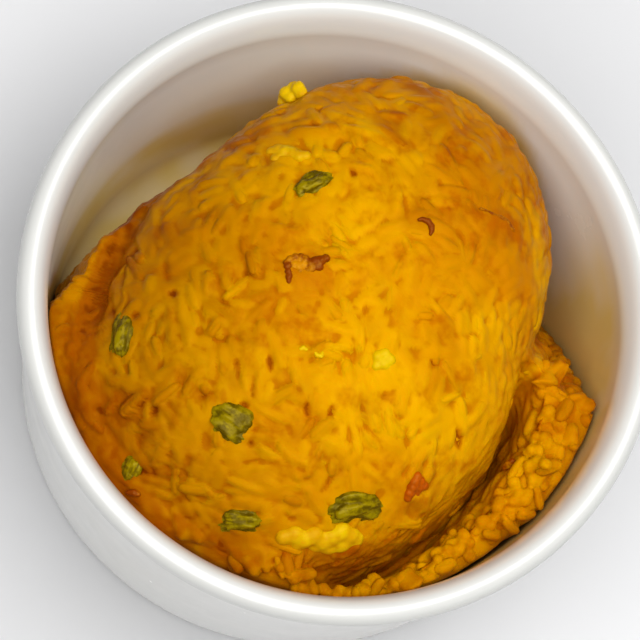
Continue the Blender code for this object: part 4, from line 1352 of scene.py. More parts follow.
# Slits and holes, dented and darkened with painted shade: x, y, length, width, turn (degrees), depth and
# darkness.
MARKS = (
    (-4.9, 47, 1.4, 1.1, 175, 0.5, 0.55), (-6.5, 42.5, 1.6, 1.1, 108, 0.6, 0.65),
    (1.2, 29.4, 1.8, 1.4, 97, 0.8, 0.95), (16.3, 47, 1.6, 1.4, 83, 0.5, 0.6),
    (9.7, 51.2, 3, 1.4, 92, 0.4, 0.5), (7.5, 48.3, 1.6, 0.9, 107, 0.4, 0.45),
    (10, 32.9, 2.7, 0.7, 3, 0.4, 0.5), (21.6, 27.4, 2.1, 1.4, 118, 0.4, 0.55),
    (13.3, 21.5, 3.7, 0.7, 93, 0.4, 0.5), (26.6, 15.1, 2.3, 0.9, 110, 0.5, 0.6),
    (5.4, 25.5, 1.4, 0.9, 88, 0.4, 0.45), (7.6, 7.3, 2.7, 0.7, 90, 0.4, 0.45),
    (-16.5, 21.3, 3.2, 1.4, 42, 0.6, 0.6), (-23.3, 22.6, 1.4, 0.9, 87, 0.4, 0.45),
    (-23.3, 16.8, 2.3, 0.9, 88, 0.4, 0.5), (-28.7, 14.8, 1.8, 0.9, 97, 0.5, 0.55),
    (-19.4, 14.2, 2.1, 0.9, 71, 0.4, 0.5), (-23.4, 3.5, 2.1, 1.1, 90, 0.6, 0.65),
    (-16.4, 9.3, 3, 0.9, 0, 0.4, 0.5), (-7.8, -3.9, 3, 0.9, 61, 0.6, 0.6),
    (-6.5, -0.8, 2.1, 0.7, 80, 0.4, 0.5), (-1.4, 5, 2.5, 0.7, 18, 0.5, 0.55),
    (3.2, -4.4, 2.3, 0.9, 61, 0.5, 0.6), (9.8, -3.1, 1.6, 1.1, 3, 0.4, 0.45),
    (14.2, -1.7, 2.1, 1.1, 80, 0.5, 0.6), (-20.9, -6.9, 2.1, 0.9, 0, 0.4, 0.5),
    (-28.5, -3.5, 3.7, 1.1, 80, 0.5, 0.5), (-17.8, -5.1, 3.2, 1.1, 71, 0.6, 0.6),
    (-10.6, -4.2, 3.2, 1.1, 17, 0.4, 0.5), (-3.2, -10.3, 2.1, 1.1, 172, 0.4, 0.5),
    (-51.8, 14.5, 2.7, 1.1, 64, 0.8, 0.8), (-47.7, 12.1, 2.1, 0.9, 71, 0.6, 0.7),
    (-41, 6, 3.2, 1.1, 97, 0.6, 0.6), (-39.4, 0.2, 1.4, 1.1, 175, 0.8, 0.85),
    (-46.5, 5.1, 1.6, 0.9, 136, 0.4, 0.5), (-52.3, -2.2, 2.3, 1.1, 101, 0.6, 0.8),
    (-47.5, -4.2, 2.1, 0.9, 130, 0.6, 0.7), (-58.6, -6.5, 5, 1.6, 90, 0.9, 0.8),
    (-53.5, -25.1, 2.7, 1.4, 165, 0.8, 0.8), (-49.5, -28, 1.6, 1.4, 119, 0.5, 0.6),
    (-45.5, -24.4, 2.1, 0.9, 61, 0.7, 0.8), (-46, -31, 4.6, 0.7, 92, 0.5, 0.6),
    (-42.8, -26.4, 1.6, 1.1, 61, 0.8, 0.8), (-43.9, -39.4, 3.4, 1.4, 168, 0.9, 0.85),
    (-36.2, -40.5, 2.3, 0.9, 167, 0.5, 0.5), (-46.7, -45, 2.1, 1.6, 124, 1, 1),
    (-49, -42.7, 2.1, 1.1, 130, 0.8, 0.9), (-35.2, -45.8, 2.1, 0.9, 176, 0.6, 0.6),
    (-32.1, -23.6, 1.8, 0.9, 30, 0.6, 0.7), (-28.1, -24.2, 2.5, 0.9, 92, 0.6, 0.8),
    (-25.4, -17.9, 3, 0.7, 93, 0.7, 0.7), (-28.2, -10.8, 4.1, 1.1, 179, 0.6, 0.6),
    (-18.1, -16.8, 2.1, 0.9, 96, 0.9, 0.85), (-21.3, -23.1, 1.8, 0.9, 102, 0.6, 0.7),
    (-23.8, -26.2, 1.6, 1.1, 180, 0.7, 0.7), (-21.3, -33.2, 2.7, 0.7, 72, 0.7, 0.8),
    (-19, -38.6, 5.9, 0.6, 180, 0.5, 0.6), (-9.2, -27, 2.3, 1.1, 102, 0.8, 0.85),
    (-8.2, -30.2, 2.7, 1.8, 92, 0.5, 0.5), (-11.7, -49.8, 1.8, 0.9, 128, 0.5, 0.6),
    (-20.9, -61.3, 1.8, 1.4, 144, 0.6, 0.7), (-26.9, -55.5, 3.2, 1.4, 139, 0.9, 0.9),
    (-4.2, -43.1, 2.3, 0.9, 51, 0.6, 0.7), (-3.5, -27.2, 2.3, 1.1, 61, 0.8, 0.8),
    (0.8, -13.7, 3.2, 0.6, 91, 0.5, 0.5), (11.3, -9.9, 2.7, 0.6, 96, 0.4, 0.45),
    (4, -28.2, 3.9, 0.7, 108, 0.7, 0.65), (9, -22.7, 2.7, 0.9, 23, 0.6, 0.6),
    (19.8, -15.1, 2.1, 1.6, 33, 0.8, 0.8), (21.3, -8.4, 1.8, 0.9, 103, 0.4, 0.5),
    (26.2, -7.8, 1.4, 0.9, 7, 0.3, 0.4), (43.1, -5, 2.1, 1.1, 96, 0.5, 0.6),
    (24.4, -18.6, 3.2, 1.4, 169, 0.4, 0.45), (27.5, -30.3, 2.7, 1, 96, 1, 0.95),
    (23.4, -33.4, 4.1, 1.4, 24, 0.4, 0.45), (14.6, -33.6, 3.7, 0.7, 106, 0.5, 0.5),
    (8.7, -44.3, 1.8, 1.1, 41, 0.8, 0.9), (6.1, -54.4, 2.1, 0.9, 171, 0.6, 0.7),
    (0.8, -33.4, 4.1, 0.6, 99, 0.5, 0.5), (-9.7, -40.9, 2.1, 0.9, 145, 0.5, 0.5),
    (-39.2, -50.3, 2.1, 1.1, 150, 0.6, 0.7), (-33.8, -49, 2.1, 0.9, 175, 0.5, 0.6),
    (-14, -59.1, 3.2, 0.9, 11, 0.6, 0.7), (-50.2, 8.5, 2.7, 1.1, 78, 0.6, 0.6),
    (-56.7, -19.7, 2.7, 1.4, 123, 0.7, 0.7), (-13.2, 42, 1.6, 0.9, 97, 0.4, 0.5),
    (-10.4, 43.5, 1.4, 0.9, 173, 0.4, 0.45), (-21.8, 39.7, 3, 1.1, 173, 0.5, 0.6),
    (-24.7, 37.7, 2.3, 0.9, 8, 0.5, 0.5), (-1.8, 37.3, 1.8, 0.9, 43, 0.4, 0.45),
    (-0.5, 32.5, 2.1, 0.9, 43, 0.4, 0.45), (10.2, 42.6, 2.3, 1.4, 112, 0.4, 0.55),
    (-11.1, -22.7, 1.8, 0.7, 102, 0.5, 0.5), (-2.4, -23.6, 2.1, 0.7, 97, 0.4, 0.45),
    (-31.9, -33.7, 2.3, 0.7, 103, 0.4, 0.5), (-34.9, -37.9, 2.1, 0.7, 114, 0.4, 0.5),
    (-42.3, -15.5, 2.3, 0.7, 91, 0.4, 0.45), (-33.8, -9, 2.1, 0.7, 100, 0.4, 0.45),
    (-13.1, -31.7, 2.1, 0.7, 122, 0.4, 0.45), (16.9, -23.4, 2.1, 0.7, 98, 0.4, 0.4),
    (-57.6, -8, 11, 4, 82, 0.5, 0.75), (-55.2, 0.5, 7, 3.4, 72, 0.5, 0.7),
    (-52.8, 8.5, 8, 3.2, 68, 0.5, 0.65), (-61.2, -6, 7, 3, 88, 0.2, 0.5),
    (-50.4, 14.2, 4, 2, 62, 0.3, 0.5), (-59.8, -20, 7, 3, 100, 0.2, 0.5),
)

# Pale grains that lie on top, some standing where glints are, as painted highlights: x, y, length,
# width, turn (degrees) and paleness.
PALE_GRAINS_AND_GLINTS = (
    (-40.3, -7.3, 10.5, 2.3, 95, 1), (-37.1, -6.8, 10.4, 2.3, 104, 1), (11.3, 22.6, 6.8, 2.1, 77, 1),
    (4.3, 40.6, 9.8, 1.8, 158, 1), (-0.3, 44.7, 7, 1.8, 148, 0.9), (2.7, 21.7, 3.6, 2.5, 2, 1),
    (-8.1, 38.7, 5.6, 2.7, 100, 0.95), (-21.3, 19.6, 6.5, 2.1, 77, 0.9), (-24.6, -2.8, 6.3, 1.8, 177, 1),
    (-15.5, -3.5, 4.8, 2.1, 58, 0.9), (-1, 1.5, 4.4, 1.8, 97, 1), (-44.7, -26.8, 6.2, 1.6, 83, 0.9),
    (-40.9, -30.2, 8.1, 1.6, 106, 1), (-37.5, -36.3, 4.6, 2.1, 110, 0.9), (-29, -46.4, 5.5, 1.6, 35, 1),
    (-18.5, -23.5, 5.7, 2.1, 65, 0.9), (-23.4, -21.1, 4.8, 2.1, 101, 0.9),
    (-21.8, -40.1, 5.8, 2.3, 38, 0.9), (-7.7, -38.5, 7.1, 2.1, 178, 1), (6.9, -28.5, 8.5, 3, 111, 1),
    (10, -28.6, 9.5, 2.5, 106, 1), (2.6, -33.4, 6.5, 1.8, 108, 1), (-2.3, -25.9, 5.6, 2.1, 140, 0.95),
    (-3.6, -33.8, 7.1, 2.3, 163, 0.95), (-2.6, -12.8, 6.8, 1.8, 0, 0.95),
    (24.7, -22.1, 5.8, 1.8, 22, 0.95), (30, -12.6, 5.3, 1.6, 23, 1), (18.7, -34.9, 5.2, 2.7, 54, 0.9),
    (34.8, -29.9, 3.6, 1.1, 56, 1), (8.9, -38.9, 4.2, 1.1, 78, 0.9), (17.5, -20, 3.8, 1.6, 101, 1),
    (-10.7, -21.3, 6.1, 2.1, 111, 0.9), (-15.9, -16.2, 4.4, 1.8, 116, 0.9), (-31, 2.5, 3.6, 1.1, 94, 1),
    (-49.7, 3.6, 5.1, 1.4, 93, 0.9), (-58, 6.4, 4.2, 2.1, 174, 0.9), (-19.7, -47.9, 4.6, 2.1, 45, 0.8),
    (-12.4, -49, 4.1, 1.6, 131, 0.9), (17.2, -23.6, 6.3, 1.8, 172, 0.9), (6.3, -2, 5.8, 1.8, 170, 0.85),
    (20.6, -2.5, 6, 1.8, 134, 0.85), (31.7, -3.6, 5.3, 1.8, 104, 0.85), (3, 15.4, 7.4, 2.1, 30, 0.9),
    (-9.1, 21.8, 5.1, 2.1, 23, 0.85), (-25.3, -26.7, 4.1, 1.8, 81, 0.8),
    (-34.4, -27.1, 5.7, 2.1, 118, 0.8), (-48, -17.7, 6.6, 1.8, 104, 0.8),
    (24.8, -37.6, 4.8, 1.8, 48, 0.8), (38.4, -0.4, 5.9, 1.6, 108, 0.8), (9.6, -8.9, 5.9, 2.1, 169, 0.95),
)

# Browned and pale blotches, among them painted shade near the left wall and painted light on the dome's
# right edge: x, y, half length, half width, turn (degrees), and browned above 0 or pale below.
BLOTCHES_LIGHT_AND_SHADE = (
    (-10.1, -1.2, 7.8, 4.6, 12, 0.55), (-10.3, 5.5, 5.9, 4.1, 1, 0.5), (-22.2, 9.8, 10.3, 5, 10, 0.35),
    (-22.2, 39.9, 6.9, 2.5, 20, 0.8), (10.2, 43.1, 4.6, 3.2, 112, 0.7), (23.1, 47.2, 11.4, 5, 148, 0.5),
    (25.1, 36.9, 9.2, 3.2, 165, 0.5), (11.8, 57.3, 13.7, 2.1, 154, 0.7),
    (31.4, 26.1, 10.3, 5.9, 145, 0.35), (17.8, 19.8, 6.9, 2.5, 5, 0.5), (36.3, 19.7, 5, 2.1, 165, 0.55),
    (-8.2, -30.5, 4.6, 4.1, 2, 0.55), (24.4, -19.1, 5.9, 2.5, 169, 0.4),
    (-27.1, -10.6, 6.9, 2.7, 179, 0.4), (-54.7, 4.6, 9.2, 2.7, 69, 1), (-58.1, -7.1, 6.9, 2.5, 90, 1),
    (-53.3, -25.2, 5.9, 2.7, 174, 0.8), (-57.2, -19.7, 5.7, 3.2, 123, 0.7),
    (-43.3, -39.2, 5.9, 2.3, 164, 0.6), (-46.8, -44.6, 3.7, 2.3, 139, 0.8),
    (3.3, -57.1, 19.5, 2.7, 11, 0.8), (-26.3, -56.3, 5.9, 2.7, 153, 0.9),
    (22.5, -49.3, 7.8, 2.5, 34, 0.7), (-41.2, 6.1, 3.2, 3.7, 97, 0.5), (-32.2, 19.2, 6.9, 4.6, 31, 0.3),
    (-28.3, -3.3, 3.2, 4.1, 90, 0.4), (-17.8, -4.6, 3.2, 4.6, 71, 0.4), (-30.3, -41.2, 8, 3.2, 169, 0.3),
    (-42.1, -51.5, 6.9, 2.7, 141, 0.6), (1, -36.6, 6.9, 2.3, 3, 0.25), (18, -38.3, 4.6, 5.7, 109, 0.2),
    (7.6, -16.3, 6.9, 5.5, 144, -1), (-11.3, 35.4, 9.6, 3.2, 7, -0.9), (-1.9, 26.8, 3.2, 4.6, 88, -0.6),
    (32.4, -25.6, 13.7, 9.2, 51, -0.35), (47.8, 9.2, 13.7, 2.1, 96, -0.9),
    (47.3, -11.4, 6.9, 1.6, 64, -0.6), (-59.5, 6.1, 5, 2.1, 64, -0.5), (0.3, 43.5, 6.9, 2.7, 154, -0.5),
    (19.6, -27.5, 11.4, 4.6, 15, -0.35), (-38.5, -7.6, 4.6, 5.9, 99, -0.5),
    (2.5, 21.1, 3.7, 3.2, 2, -0.5), (-46.5, -47, 14, 6, 133, 0.5), (-60, -14, 15, 4.5, 84, 0.5),
    (-54, -33, 11, 5, 118, 0.5), (-23.9, -38.2, 9.2, 5.7, 179, -0.25), (-4.2, -24.8, 11.4, 9.2, 3, -0.2),
    (12, 25.4, 2.3, 5, 88, -0.4), (36.5, -5, 6.9, 9.2, 105, -0.3),
)


def oval_shares(points, x, y, half_length, half_width, turn):
    """For each point, 0 at the middle of an oval and 1 on its edge (mm, degrees)."""
    right, up = points[:, 0] / MM - x, points[:, 1] / MM - y
    turn = math.radians(turn)
    along = right * math.cos(turn) + up * math.sin(turn)
    across = up * math.cos(turn) - right * math.sin(turn)
    return np.hypot(along / half_length, across / half_width)


def marks_at(points):
    """Depth (m) of the slits and holes at each point, and their darkness, which is painted shade."""
    depths = np.zeros(len(points))
    darks = np.zeros(len(points))
    for x, y, length, width, turn, depth, dark in MARKS:
        away = oval_shares(points, x, y, length * 0.6 + 0.3, width * 0.42 + 0.3, turn)
        share = smooth_step(1.7 - away)
        depths = np.maximum(depths, depth * MM * share)
        darks = np.maximum(darks, dark * share)
    return depths, darks


def blotches_at(points):
    """How far each point is darkened (above 0) or paler (below 0) by the blotches: browned and pale
    patches, painted shade and painted light.
    """
    ragged = 1.0 + 0.45 * patch_noise(points, 3.5 * MM, 31)
    total = np.zeros(len(points))
    for *oval, browned in BLOTCHES_LIGHT_AND_SHADE:
        total += browned * smooth_step(1.5 - oval_shares(points, *oval) * ragged)
    return np.clip(total, -1.0, 1.0)


# --- bits in the rice ---------------------------------------------------------------------------

# Green pieces: ridges across, sideways bend.
BEANS = {
    "green_1": (1.3, 0.3),
    "green_2": (1.2, -0.2),
    "green_3": (2.2, 0.1),
    "green_4": (1.1, 0.25),
    "green_5": (1.0, 0.1),
    "green_6": (1.2, 0.1),
}

# Each bit: x, y, length, width, height, turn (degrees) and how far its middle is sunk.
BITS = {
    "green_1": (-8.3, 26.4, 8.8, 5.0, 3.4, 32, 0.6),
    "green_2": (-50.6, -8.7, 11.0, 6.0, 4.0, 84, 0.8),
    "green_3": (-26.1, -30.1, 10.4, 8.0, 3.6, -38, 0.6),
    "green_4": (3.0, -47.7, 12.6, 7.2, 4.2, 12, 0.8),
    "green_5": (-22.9, -51.1, 10.6, 5.8, 4.4, -6, 0.9),
    "green_6": (-47.5, -38.6, 6.4, 4.8, 3.4, 60, 1.0),
    "carrot_1": (17.6, -42.1, 6.8, 5.2, 3.8, 180, 0.15),
    "egg_1": (-5.0, -54.2, 21.0, 8.5, 5.6, 180, 0.9),
    "egg_2": (-9.2, 52.6, 7.6, 5.4, 5.0, 20, -1.2),
    "egg_3": (-13.3, 34.6, 10.6, 6.0, 3.4, 180, 0.9),
    "egg_4": (8.2, -15.2, 5.6, 5.0, 3.2, 180, 0.7),
    "browned_1": (-10.1, 5.2, 9.8, 6.6, 3.6, 180, 0.2),
}

# Lumps melted from balls: slot, size of the melted skin's cells, how uneven it is and over what
# size, rounds of softening, and the balls: x, y, z, radius and tone, 0 dark to 1 pale or golden.
LUMPS = {
    "carrot_1": ("carrot", 0.24, 0.4, 1.5, 6, (
        (-1.2, 2.8, 0.2, 1.2, 0.6), (-1.3, 1.4, 0.3, 1.5, 0.4), (-1.4, 0, 0.3, 1.5, 0.3),
        (-1.5, -1.4, 0.2, 1.4, 0.5), (-1.4, -2.7, 0, 1.1, 0.3), (0, 1.6, 0.3, 1.4, 0.8),
        (0, 0.2, 0.3, 1.5, 0.6), (-0.2, -1.2, 0.2, 1.4, 0.4), (1.3, 0.9, 0.2, 1.3, 0.9),
        (2.3, 0.7, 0, 1, 0.7),
    )),
    "egg_1": ("egg_yellow", 0.3, 0.7, 3.0, 30, (
        (5.4, 2, 0, 2.7, 0.6), (7.6, 1.2, -0.1, 2.4, 0.5), (3.6, 0.4, -0.1, 2.6, 0.5),
        (9.4, 0, -0.5, 2.2, 0.4), (6.4, -1.2, -0.4, 2.6, 0.5), (1.6, -0.8, -0.2, 2.6, 0.4),
        (-0.8, 0.2, -0.1, 2.5, 0.3), (3.4, -2.6, -0.7, 2.3, 0.3), (-2.8, -0.8, -0.2, 2.5, 0.3),
        (-5.2, 0, -0.3, 2.4, 0.2), (-4, -2.4, -0.8, 2.2, 0.2), (-7.4, -1, -0.6, 2.2, 0.1),
        (9.4, -2.2, -1, 2, 0.2), (0.4, -2.6, -0.8, 2.1, 0.3),
    )),
    "egg_3": ("egg_yellow", 0.3, 0.7, 3.0, 14, (
        (-4, 1.2, -0.2, 1.4, 0.1), (-2.4, 1.6, 0, 1.6, 0.3), (-0.8, 0.6, 0.1, 1.8, 0.4),
        (1, 0.2, 0.1, 1.8, 0.4), (2.6, -0.6, 0, 1.7, 0.3), (4.2, -0.4, -0.2, 1.4, 0.1),
        (-2.8, -1, -0.3, 1.5, 0),
    )),
    "egg_4": ("egg_yellow", 0.3, 0.7, 3.0, 14, (
        (-1.4, 0.8, 0, 1.6, 1), (0.2, 1.4, 0, 1.5, 0.9), (1.4, 0.2, 0, 1.6, 1), (0, -0.8, 0.1, 1.7, 1),
        (-1.6, -1.4, -0.2, 1.3, 0.7), (1.2, -1.8, -0.2, 1.3, 0.8),
    )),
    "egg_2": ("egg_yellow", 0.3, 0.9, 2.2, 4, (
        (-2.6, 0.2, 0.4, 1.7, 0.7), (-1, -0.6, 0.9, 1.8, 1), (0.8, 0.4, 0.7, 1.9, 0.9),
        (2.4, -0.3, 0.2, 1.6, 0.6), (-3.2, 0.6, -0.9, 1.5, 0.4), (0, 0.9, -0.6, 1.7, 0.6),
        (3, 0.5, -1, 1.4, 0.3), (1.4, -1, 0.2, 1.4, 0.8),
    )),
    "browned_1": ("browned_bit", 0.2, 0.5, 1.0, 4, (
        (1, 1.4, 0.4, 1.1, 0.15), (2.2, 1.7, 0.5, 1.3, 0), (3.4, 2, 0.5, 1.25, 0), (4.6, 2.6, 0.4, 1, 0),
        (2.9, 0.6, 0.2, 1.2, 0.1), (1.4, 0.1, 0.1, 1.2, 0.2), (-4.4, 1.4, 0.2, 1, 0.2),
        (-4.2, 0.5, 0.3, 1.05, 0), (-4, -0.7, 0.3, 1.05, 0), (-3.9, -1.9, 0.2, 1, 0),
        (-3.8, -2.9, 0.1, 0.8, 0.1), (-3.6, 2.3, 0.1, 1, 0.3), (-2.4, 2.8, 0.1, 1, 0.3),
        (-1.2, 2.7, 0.1, 1.1, 0.35), (-0.1, 2.2, 0.2, 1.1, 0.2), (-2.6, 0.9, -0.1, 1.2, 0.8),
        (-1.6, 0.6, 0, 1.2, 1), (-1.2, -0.4, -0.1, 1.2, 0.9), (-2.3, -0.9, -0.1, 1.1, 0.7),
        (-0.4, 1, -0.1, 1.2, 0.8), (0.3, -0.1, -0.2, 1.1, 0.5),
    )),
}

# Bits too small for a node of their own: name, slot, x, y and sunk, tone, and a line of
# points across and up in plan with the bit's radius at each.
SCRAPS = (
    ("dark_hook", "browned_bit", 17.9, 16.9, 0.1, 0.0, (
        (-1.6, 1.4, 0.45), (-0.6, 1.6, 0.6), (0.6, 1.2, 0.75), (1.3, 0.2, 0.8), (1.4, -0.9, 0.7),
        (1.1, -1.8, 0.45),
    )),
    ("brown_sliver", "browned_bit", 35.9, 21.1, 0.3, 0.3, (
        (-4.6, 1.7, 0.35), (-1.6, 0.9, 0.5), (1.2, 0.2, 0.65), (2.6, -0.4, 0.7), (4.4, -2.2, 0.4),
    )),
    ("reddish_bit", "browned_bit", 42.7, -32.6, -0.6, 0.45, (
        (-1.1, -0.5, 0.8), (0.0, 0.1, 1.0), (1.1, 0.7, 0.8),
    )),
    ("left_scrap", "browned_bit", -46.5, -43.9, 0.0, 0.1, (
        (-1.1, 0.3, 0.7), (0.1, 0.1, 0.9), (1.1, -0.3, 0.6),
    )),
    # Painted highlights: two pale crumbs in the egg's colour stand for glints on the rice.
    ("painted_glint_1", "egg_yellow", -10.6, -13.6, -0.2, 1.0, (
        (-0.7, 0.1, 0.45), (0.0, 0.4, 0.6), (0.7, 0.0, 0.45),
    )),
    ("painted_glint_2", "egg_yellow", -7.2, -14.7, -0.2, 1.0, (
        (-0.8, 0.5, 0.45), (-0.2, -0.1, 0.6), (0.6, -0.3, 0.6), (1.0, 0.4, 0.4),
    )),
)
STRAND_STEP = 0.4
CARROT_LIGHT = 1.35

# Skins of the bits: material, roughness, share of light let through and scale of the mottle.
BIT_SKINS = {
    "green_bean": ("green_bean_skin", 0.3, 0.1, 500.0),
    "carrot": ("carrot_flesh", 0.4, 0.25, 400.0),
    "egg_yellow": ("egg_curd", 0.45, 0.3, 250.0),
    "browned_bit": ("browned_rice", 0.4, 0.15, 400.0),
}


def surface_frame(x, y, turn, sunk):
    """Matrix that stands a bit on the mound, with X along it and Z out of the rice."""
    normal = Vector(mound_normals(np.array([x]), np.array([y]), BIT_SLOPE_STEP)[0])
    side = normal.cross(Vector((0.0, 1.0, 0.0))).normalized()
    ahead = Matrix.Rotation(math.radians(turn), 3, normal) @ side
    matrix = Matrix((ahead, normal.cross(ahead), normal)).transposed().to_4x4()
    matrix.translation = Vector((x, y, float(mound_height(x, y)))) - normal * sunk
    return matrix


def bit_frame(name):
    x, y, _, _, _, turn, sunk = BITS[name]
    return surface_frame(x * MM, y * MM, turn, sunk * MM)


def bean(name, seed, ribs, bend):
    """A cut piece of green bean: faintly ridged along its length, with blunt uneven ends."""
    size = BITS[name][2:5]
    only()
    bpy.ops.mesh.primitive_uv_sphere_add(segments=56, ring_count=32, radius=1.0)
    piece = named(f"{name}_bit")
    shift = Vector((3.7, 1.3, 2.1)) * seed
    rib_values = []
    for vert in piece.data.vertices:
        way = vert.co.normalized()
        boxed = Vector([math.copysign(abs(c) ** p, c) for c, p in zip(way, (0.65, 0.85, 0.9))])
        wander = noise.noise(Vector((boxed.x * 1.3, boxed.y * 0.6, 0)) + shift)
        ridge = math.cos(math.pi * ribs * (boxed.y + 0.6 * wander))
        boxed *= 1.0 + 0.34 * noise.noise(way * 1.7 + shift) + 0.12 * noise.noise(way * 5.0 + shift)
        boxed.z *= 1.0 + 0.12 * ridge * max(way.z, 0.0)
        boxed.y *= 1.0 - 0.3 * abs(boxed.x) ** 3
        boxed.z *= 1.0 - 0.3 * abs(boxed.x) ** 3
        boxed.y += bend * (boxed.x * boxed.x - 0.5)
        vert.co = Vector([part * full for part, full in zip(boxed, size)]) * 0.5 * MM
        fibre = noise.noise(Vector((boxed.x * 1.1, boxed.y * 6.5, boxed.z * 2.0)) + shift)
        blotch = 0.55 * noise.noise(way * 1.9 + shift)
        rib_values.append(0.45 + blotch + 0.6 * fibre + 0.12 * ridge)
    piece.data.transform(bit_frame(name))
    point_values(piece, rib=rib_values)
    bpy.ops.object.shade_smooth()
    return piece


def melted(name, balls, voxel, uneven, size, rounds, place):
    """Small balls melted into one uneven piece, with the nearest balls' tone at each point."""
    parts = []
    for x, y, z, radius, _ in balls:
        only()
        bpy.ops.mesh.primitive_ico_sphere_add(
            subdivisions=3, radius=radius * MM, location=(x * MM, y * MM, z * MM)
        )
        parts.append(bpy.context.active_object)
    only(*reversed(parts))
    bpy.ops.object.join()
    piece = named(f"{name}_bit")
    apply_place()
    melt(piece, voxel * MM)
    roughen(piece, size * MM, uneven * MM)
    soften(piece, rounds)
    table = np.array(balls)
    away = np.linalg.norm(vertex_values(piece, "co")[:, None] - table[None, :, :3] * MM, axis=-1)
    weights = np.exp(-4.0 * away / (table[:, 3] * MM))
    point_values(piece, rib=weights @ table[:, 4] / weights.sum(axis=1))
    piece.data.transform(place)
    return piece


def strand(line, tone):
    """Balls along a line of points, close enough to melt into one thin bit."""
    balls = []
    for start, end in zip(line, line[1:]):
        steps = math.ceil(math.dist(start[:2], end[:2]) / STRAND_STEP)
        for x, y, radius in straight(start, end, [i / steps for i in range(steps + 1)]):
            balls.append((x, y, 0.0, radius, tone))
    return balls


def bit_material(name, dark, light, rough, see_through, mottle_scale):
    """A bit's skin: two colours shared out by the piece's own ribs and a fine mottle."""
    material, tree = new_material(name)
    mottle = ranged(tree, noise_socket(tree, mottle_scale, 3.0, 0.6), 0.3, 0.7, -0.35, 0.35)
    rib = maths(tree, "ADD", attribute_socket(tree, "rib"), mottle, clamp=True)
    fine = noise_socket(tree, mottle_scale * 3, 3.0, 0.6)
    return finish(
        material,
        Base_Color=mix_colour(tree, ranged(tree, rib, 0.1, 0.95), dark, light),
        Roughness=ranged(tree, fine, 0.3, 0.7, rough * 0.75, rough * 1.25),
        Normal=bump(tree, fine, 0.15 * MM, 0.5),
        Subsurface_Weight=see_through,
        Subsurface_Scale=1.2 * MM,
        Subsurface_Radius=BIT_GLOW,
        Specular_IOR_Level=0.25,
        Specular_Tint=BIT_SHEEN,
    )


class RICEBOWL_OT_bits(bpy.types.Operator):
    """Sets the green bean, carrot, egg and browned bits into the rice"""

    bl_idname = "ricebowl.bits"
    bl_label = "Bits"

    def execute(self, context):
        settings = context.scene.ricebowl_bits
        orange = [part * CARROT_LIGHT for part in settings.carrot]
        colours = {
            "green_bean": (settings.bean, settings.bean_ribs),
            "carrot": (settings.carrot, orange),
            "egg_yellow": (settings.egg_shade, settings.egg),
            "browned_bit": (settings.browned, settings.flake),
        }
        skins = {
            slot: bit_material(name, *colours[slot], *surface)
            for slot, (name, *surface) in BIT_SKINS.items()
        }
        for seed, (name, (ribs, bend)) in enumerate(BEANS.items(), start=1):
            hand_over(bean(name, seed, ribs, bend), "green_bean", skins["green_bean"], name)
        for name, (slot, voxel, uneven, size, rounds, balls) in LUMPS.items():
            piece = melted(name, balls, voxel, uneven, size, rounds, bit_frame(name))
            hand_over(piece, slot, skins[slot], name)
        for name, slot, x, y, sunk, tone, line in SCRAPS:
            place = surface_frame(x * MM, y * MM, 180, sunk * MM)
            piece = melted(name, strand(line, tone), 0.16, 0.3, 0.8, 2, place)
            hand_over(piece, slot, skins[slot])
        return {"FINISHED"}


# --- stage --------------------------------------------------------------------------------------

FLOOR_SIZE = 6.0
CAMERA_TILT = math.radians(17.5)
CAMERA_TURN = math.radians(237.45)
CAMERA_DISTANCE = 1.2
CAMERA_LENS = 294.8
CAMERA_TARGET = Vector((-5.41, -4.37, 82.0)) * MM

# Soft lights: name, place and size (m), height of the spot they face, share of the key's power.
LIGHTS = (
    ("key", (-0.14, -0.22, 0.85), 0.7, 0.07, 1.0),
    ("over", (0.05, 0.1, 0.95), 0.6, 0.05, 0.22),
    ("near", (0.05, -0.3, 0.85), 0.5, 0.07, 0.10),
    ("high", (0.35, 0.1, 0.8), 0.5, 0.07, 0.44),
)


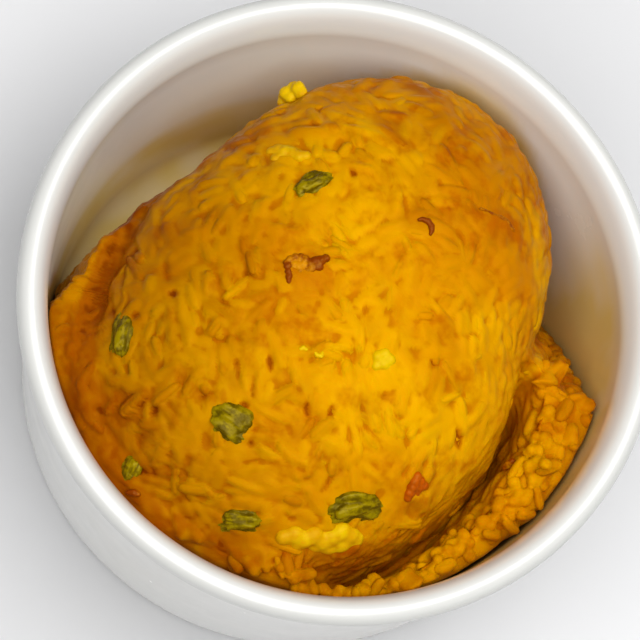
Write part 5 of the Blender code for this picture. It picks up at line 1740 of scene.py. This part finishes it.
class RICEBOWL_OT_stage(bpy.types.Operator):
    """Sets the pale floor, the soft light and the camera"""

    bl_idname = "ricebowl.stage"
    bl_label = "Stage"

    def execute(self, context):
        settings = context.scene.ricebowl_stage
        only()
        bpy.ops.mesh.primitive_plane_add(size=FLOOR_SIZE, location=(0, 0, 0))
        floor = named("pale_floor")
        material, tree = new_material("pale_floor")
        share = ranged(tree, noise_socket(tree, 5.0), 0.3, 0.7)
        darker = [part * 0.95 for part in settings.floor]
        finish(material, Base_Color=mix_colour(tree, share, settings.floor, darker), Roughness=0.55)
        floor.data.materials.append(material)

        level = math.sin(CAMERA_TILT)
        way = Vector(
            (level * math.cos(CAMERA_TURN), level * math.sin(CAMERA_TURN), math.cos(CAMERA_TILT))
        )
        data = bpy.data.cameras.new("camera")
        data.lens = CAMERA_LENS
        camera = linked("camera", data)
        right = Vector((0, 1, 0)).cross(way).normalized()
        camera.matrix_world = Matrix((right, way.cross(right), way)).transposed().to_4x4()
        camera.matrix_world.translation = CAMERA_TARGET + way * CAMERA_DISTANCE
        context.scene.camera = camera

        for name, place, size, height, share in LIGHTS:
            light = bpy.data.lights.new(name, "AREA")
            light.energy = settings.key_power * share
            light.size = size
            made = linked(name, light)
            made.location = place
            ahead = Vector((0, 0, height)) - Vector(place)
            made.rotation_euler = ahead.to_track_quat("-Z", "Y").to_euler()
        world = bpy.data.worlds.new("room")
        world.use_nodes = True
        back = world.node_tree.nodes["Background"].inputs
        back["Color"].default_value = (1, 1, 1, 1)
        back["Strength"].default_value = settings.sky
        context.scene.world = world
        context.scene.view_settings.view_transform = "Standard"
        return {"FINISHED"}


class RICEBOWL_PT_panel(bpy.types.Panel):
    """Makes the bowl of rice piece by piece"""

    bl_label = "Rice Bowl"
    bl_idname = "RICEBOWL_PT_panel"
    bl_space_type = "VIEW_3D"
    bl_region_type = "UI"
    bl_category = "Rice Bowl"

    def draw(self, context):
        for operator in OPERATORS:
            self.layout.operator(operator.bl_idname)


SETTINGS = {
    "ricebowl_bowl": BowlSettings,
    "ricebowl_rice": RiceSettings,
    "ricebowl_bits": BitsSettings,
    "ricebowl_stage": StageSettings,
}
OPERATORS = (RICEBOWL_OT_stage, RICEBOWL_OT_bowl, RICEBOWL_OT_rice, RICEBOWL_OT_bits)
CLASSES = (*SETTINGS.values(), *OPERATORS, RICEBOWL_PT_panel)


def register():
    for made in CLASSES:
        bpy.utils.register_class(made)
    for name, group in SETTINGS.items():
        setattr(bpy.types.Scene, name, bpy.props.PointerProperty(type=group))


def unregister():
    for name in SETTINGS:
        delattr(bpy.types.Scene, name)
    for made in reversed(CLASSES):
        bpy.utils.unregister_class(made)


def main():
    register()
    bpy.ops.ricebowl.stage()
    bpy.ops.ricebowl.bowl()
    bpy.ops.ricebowl.rice()
    bpy.ops.ricebowl.bits()


if __name__ == "__main__":
    main()
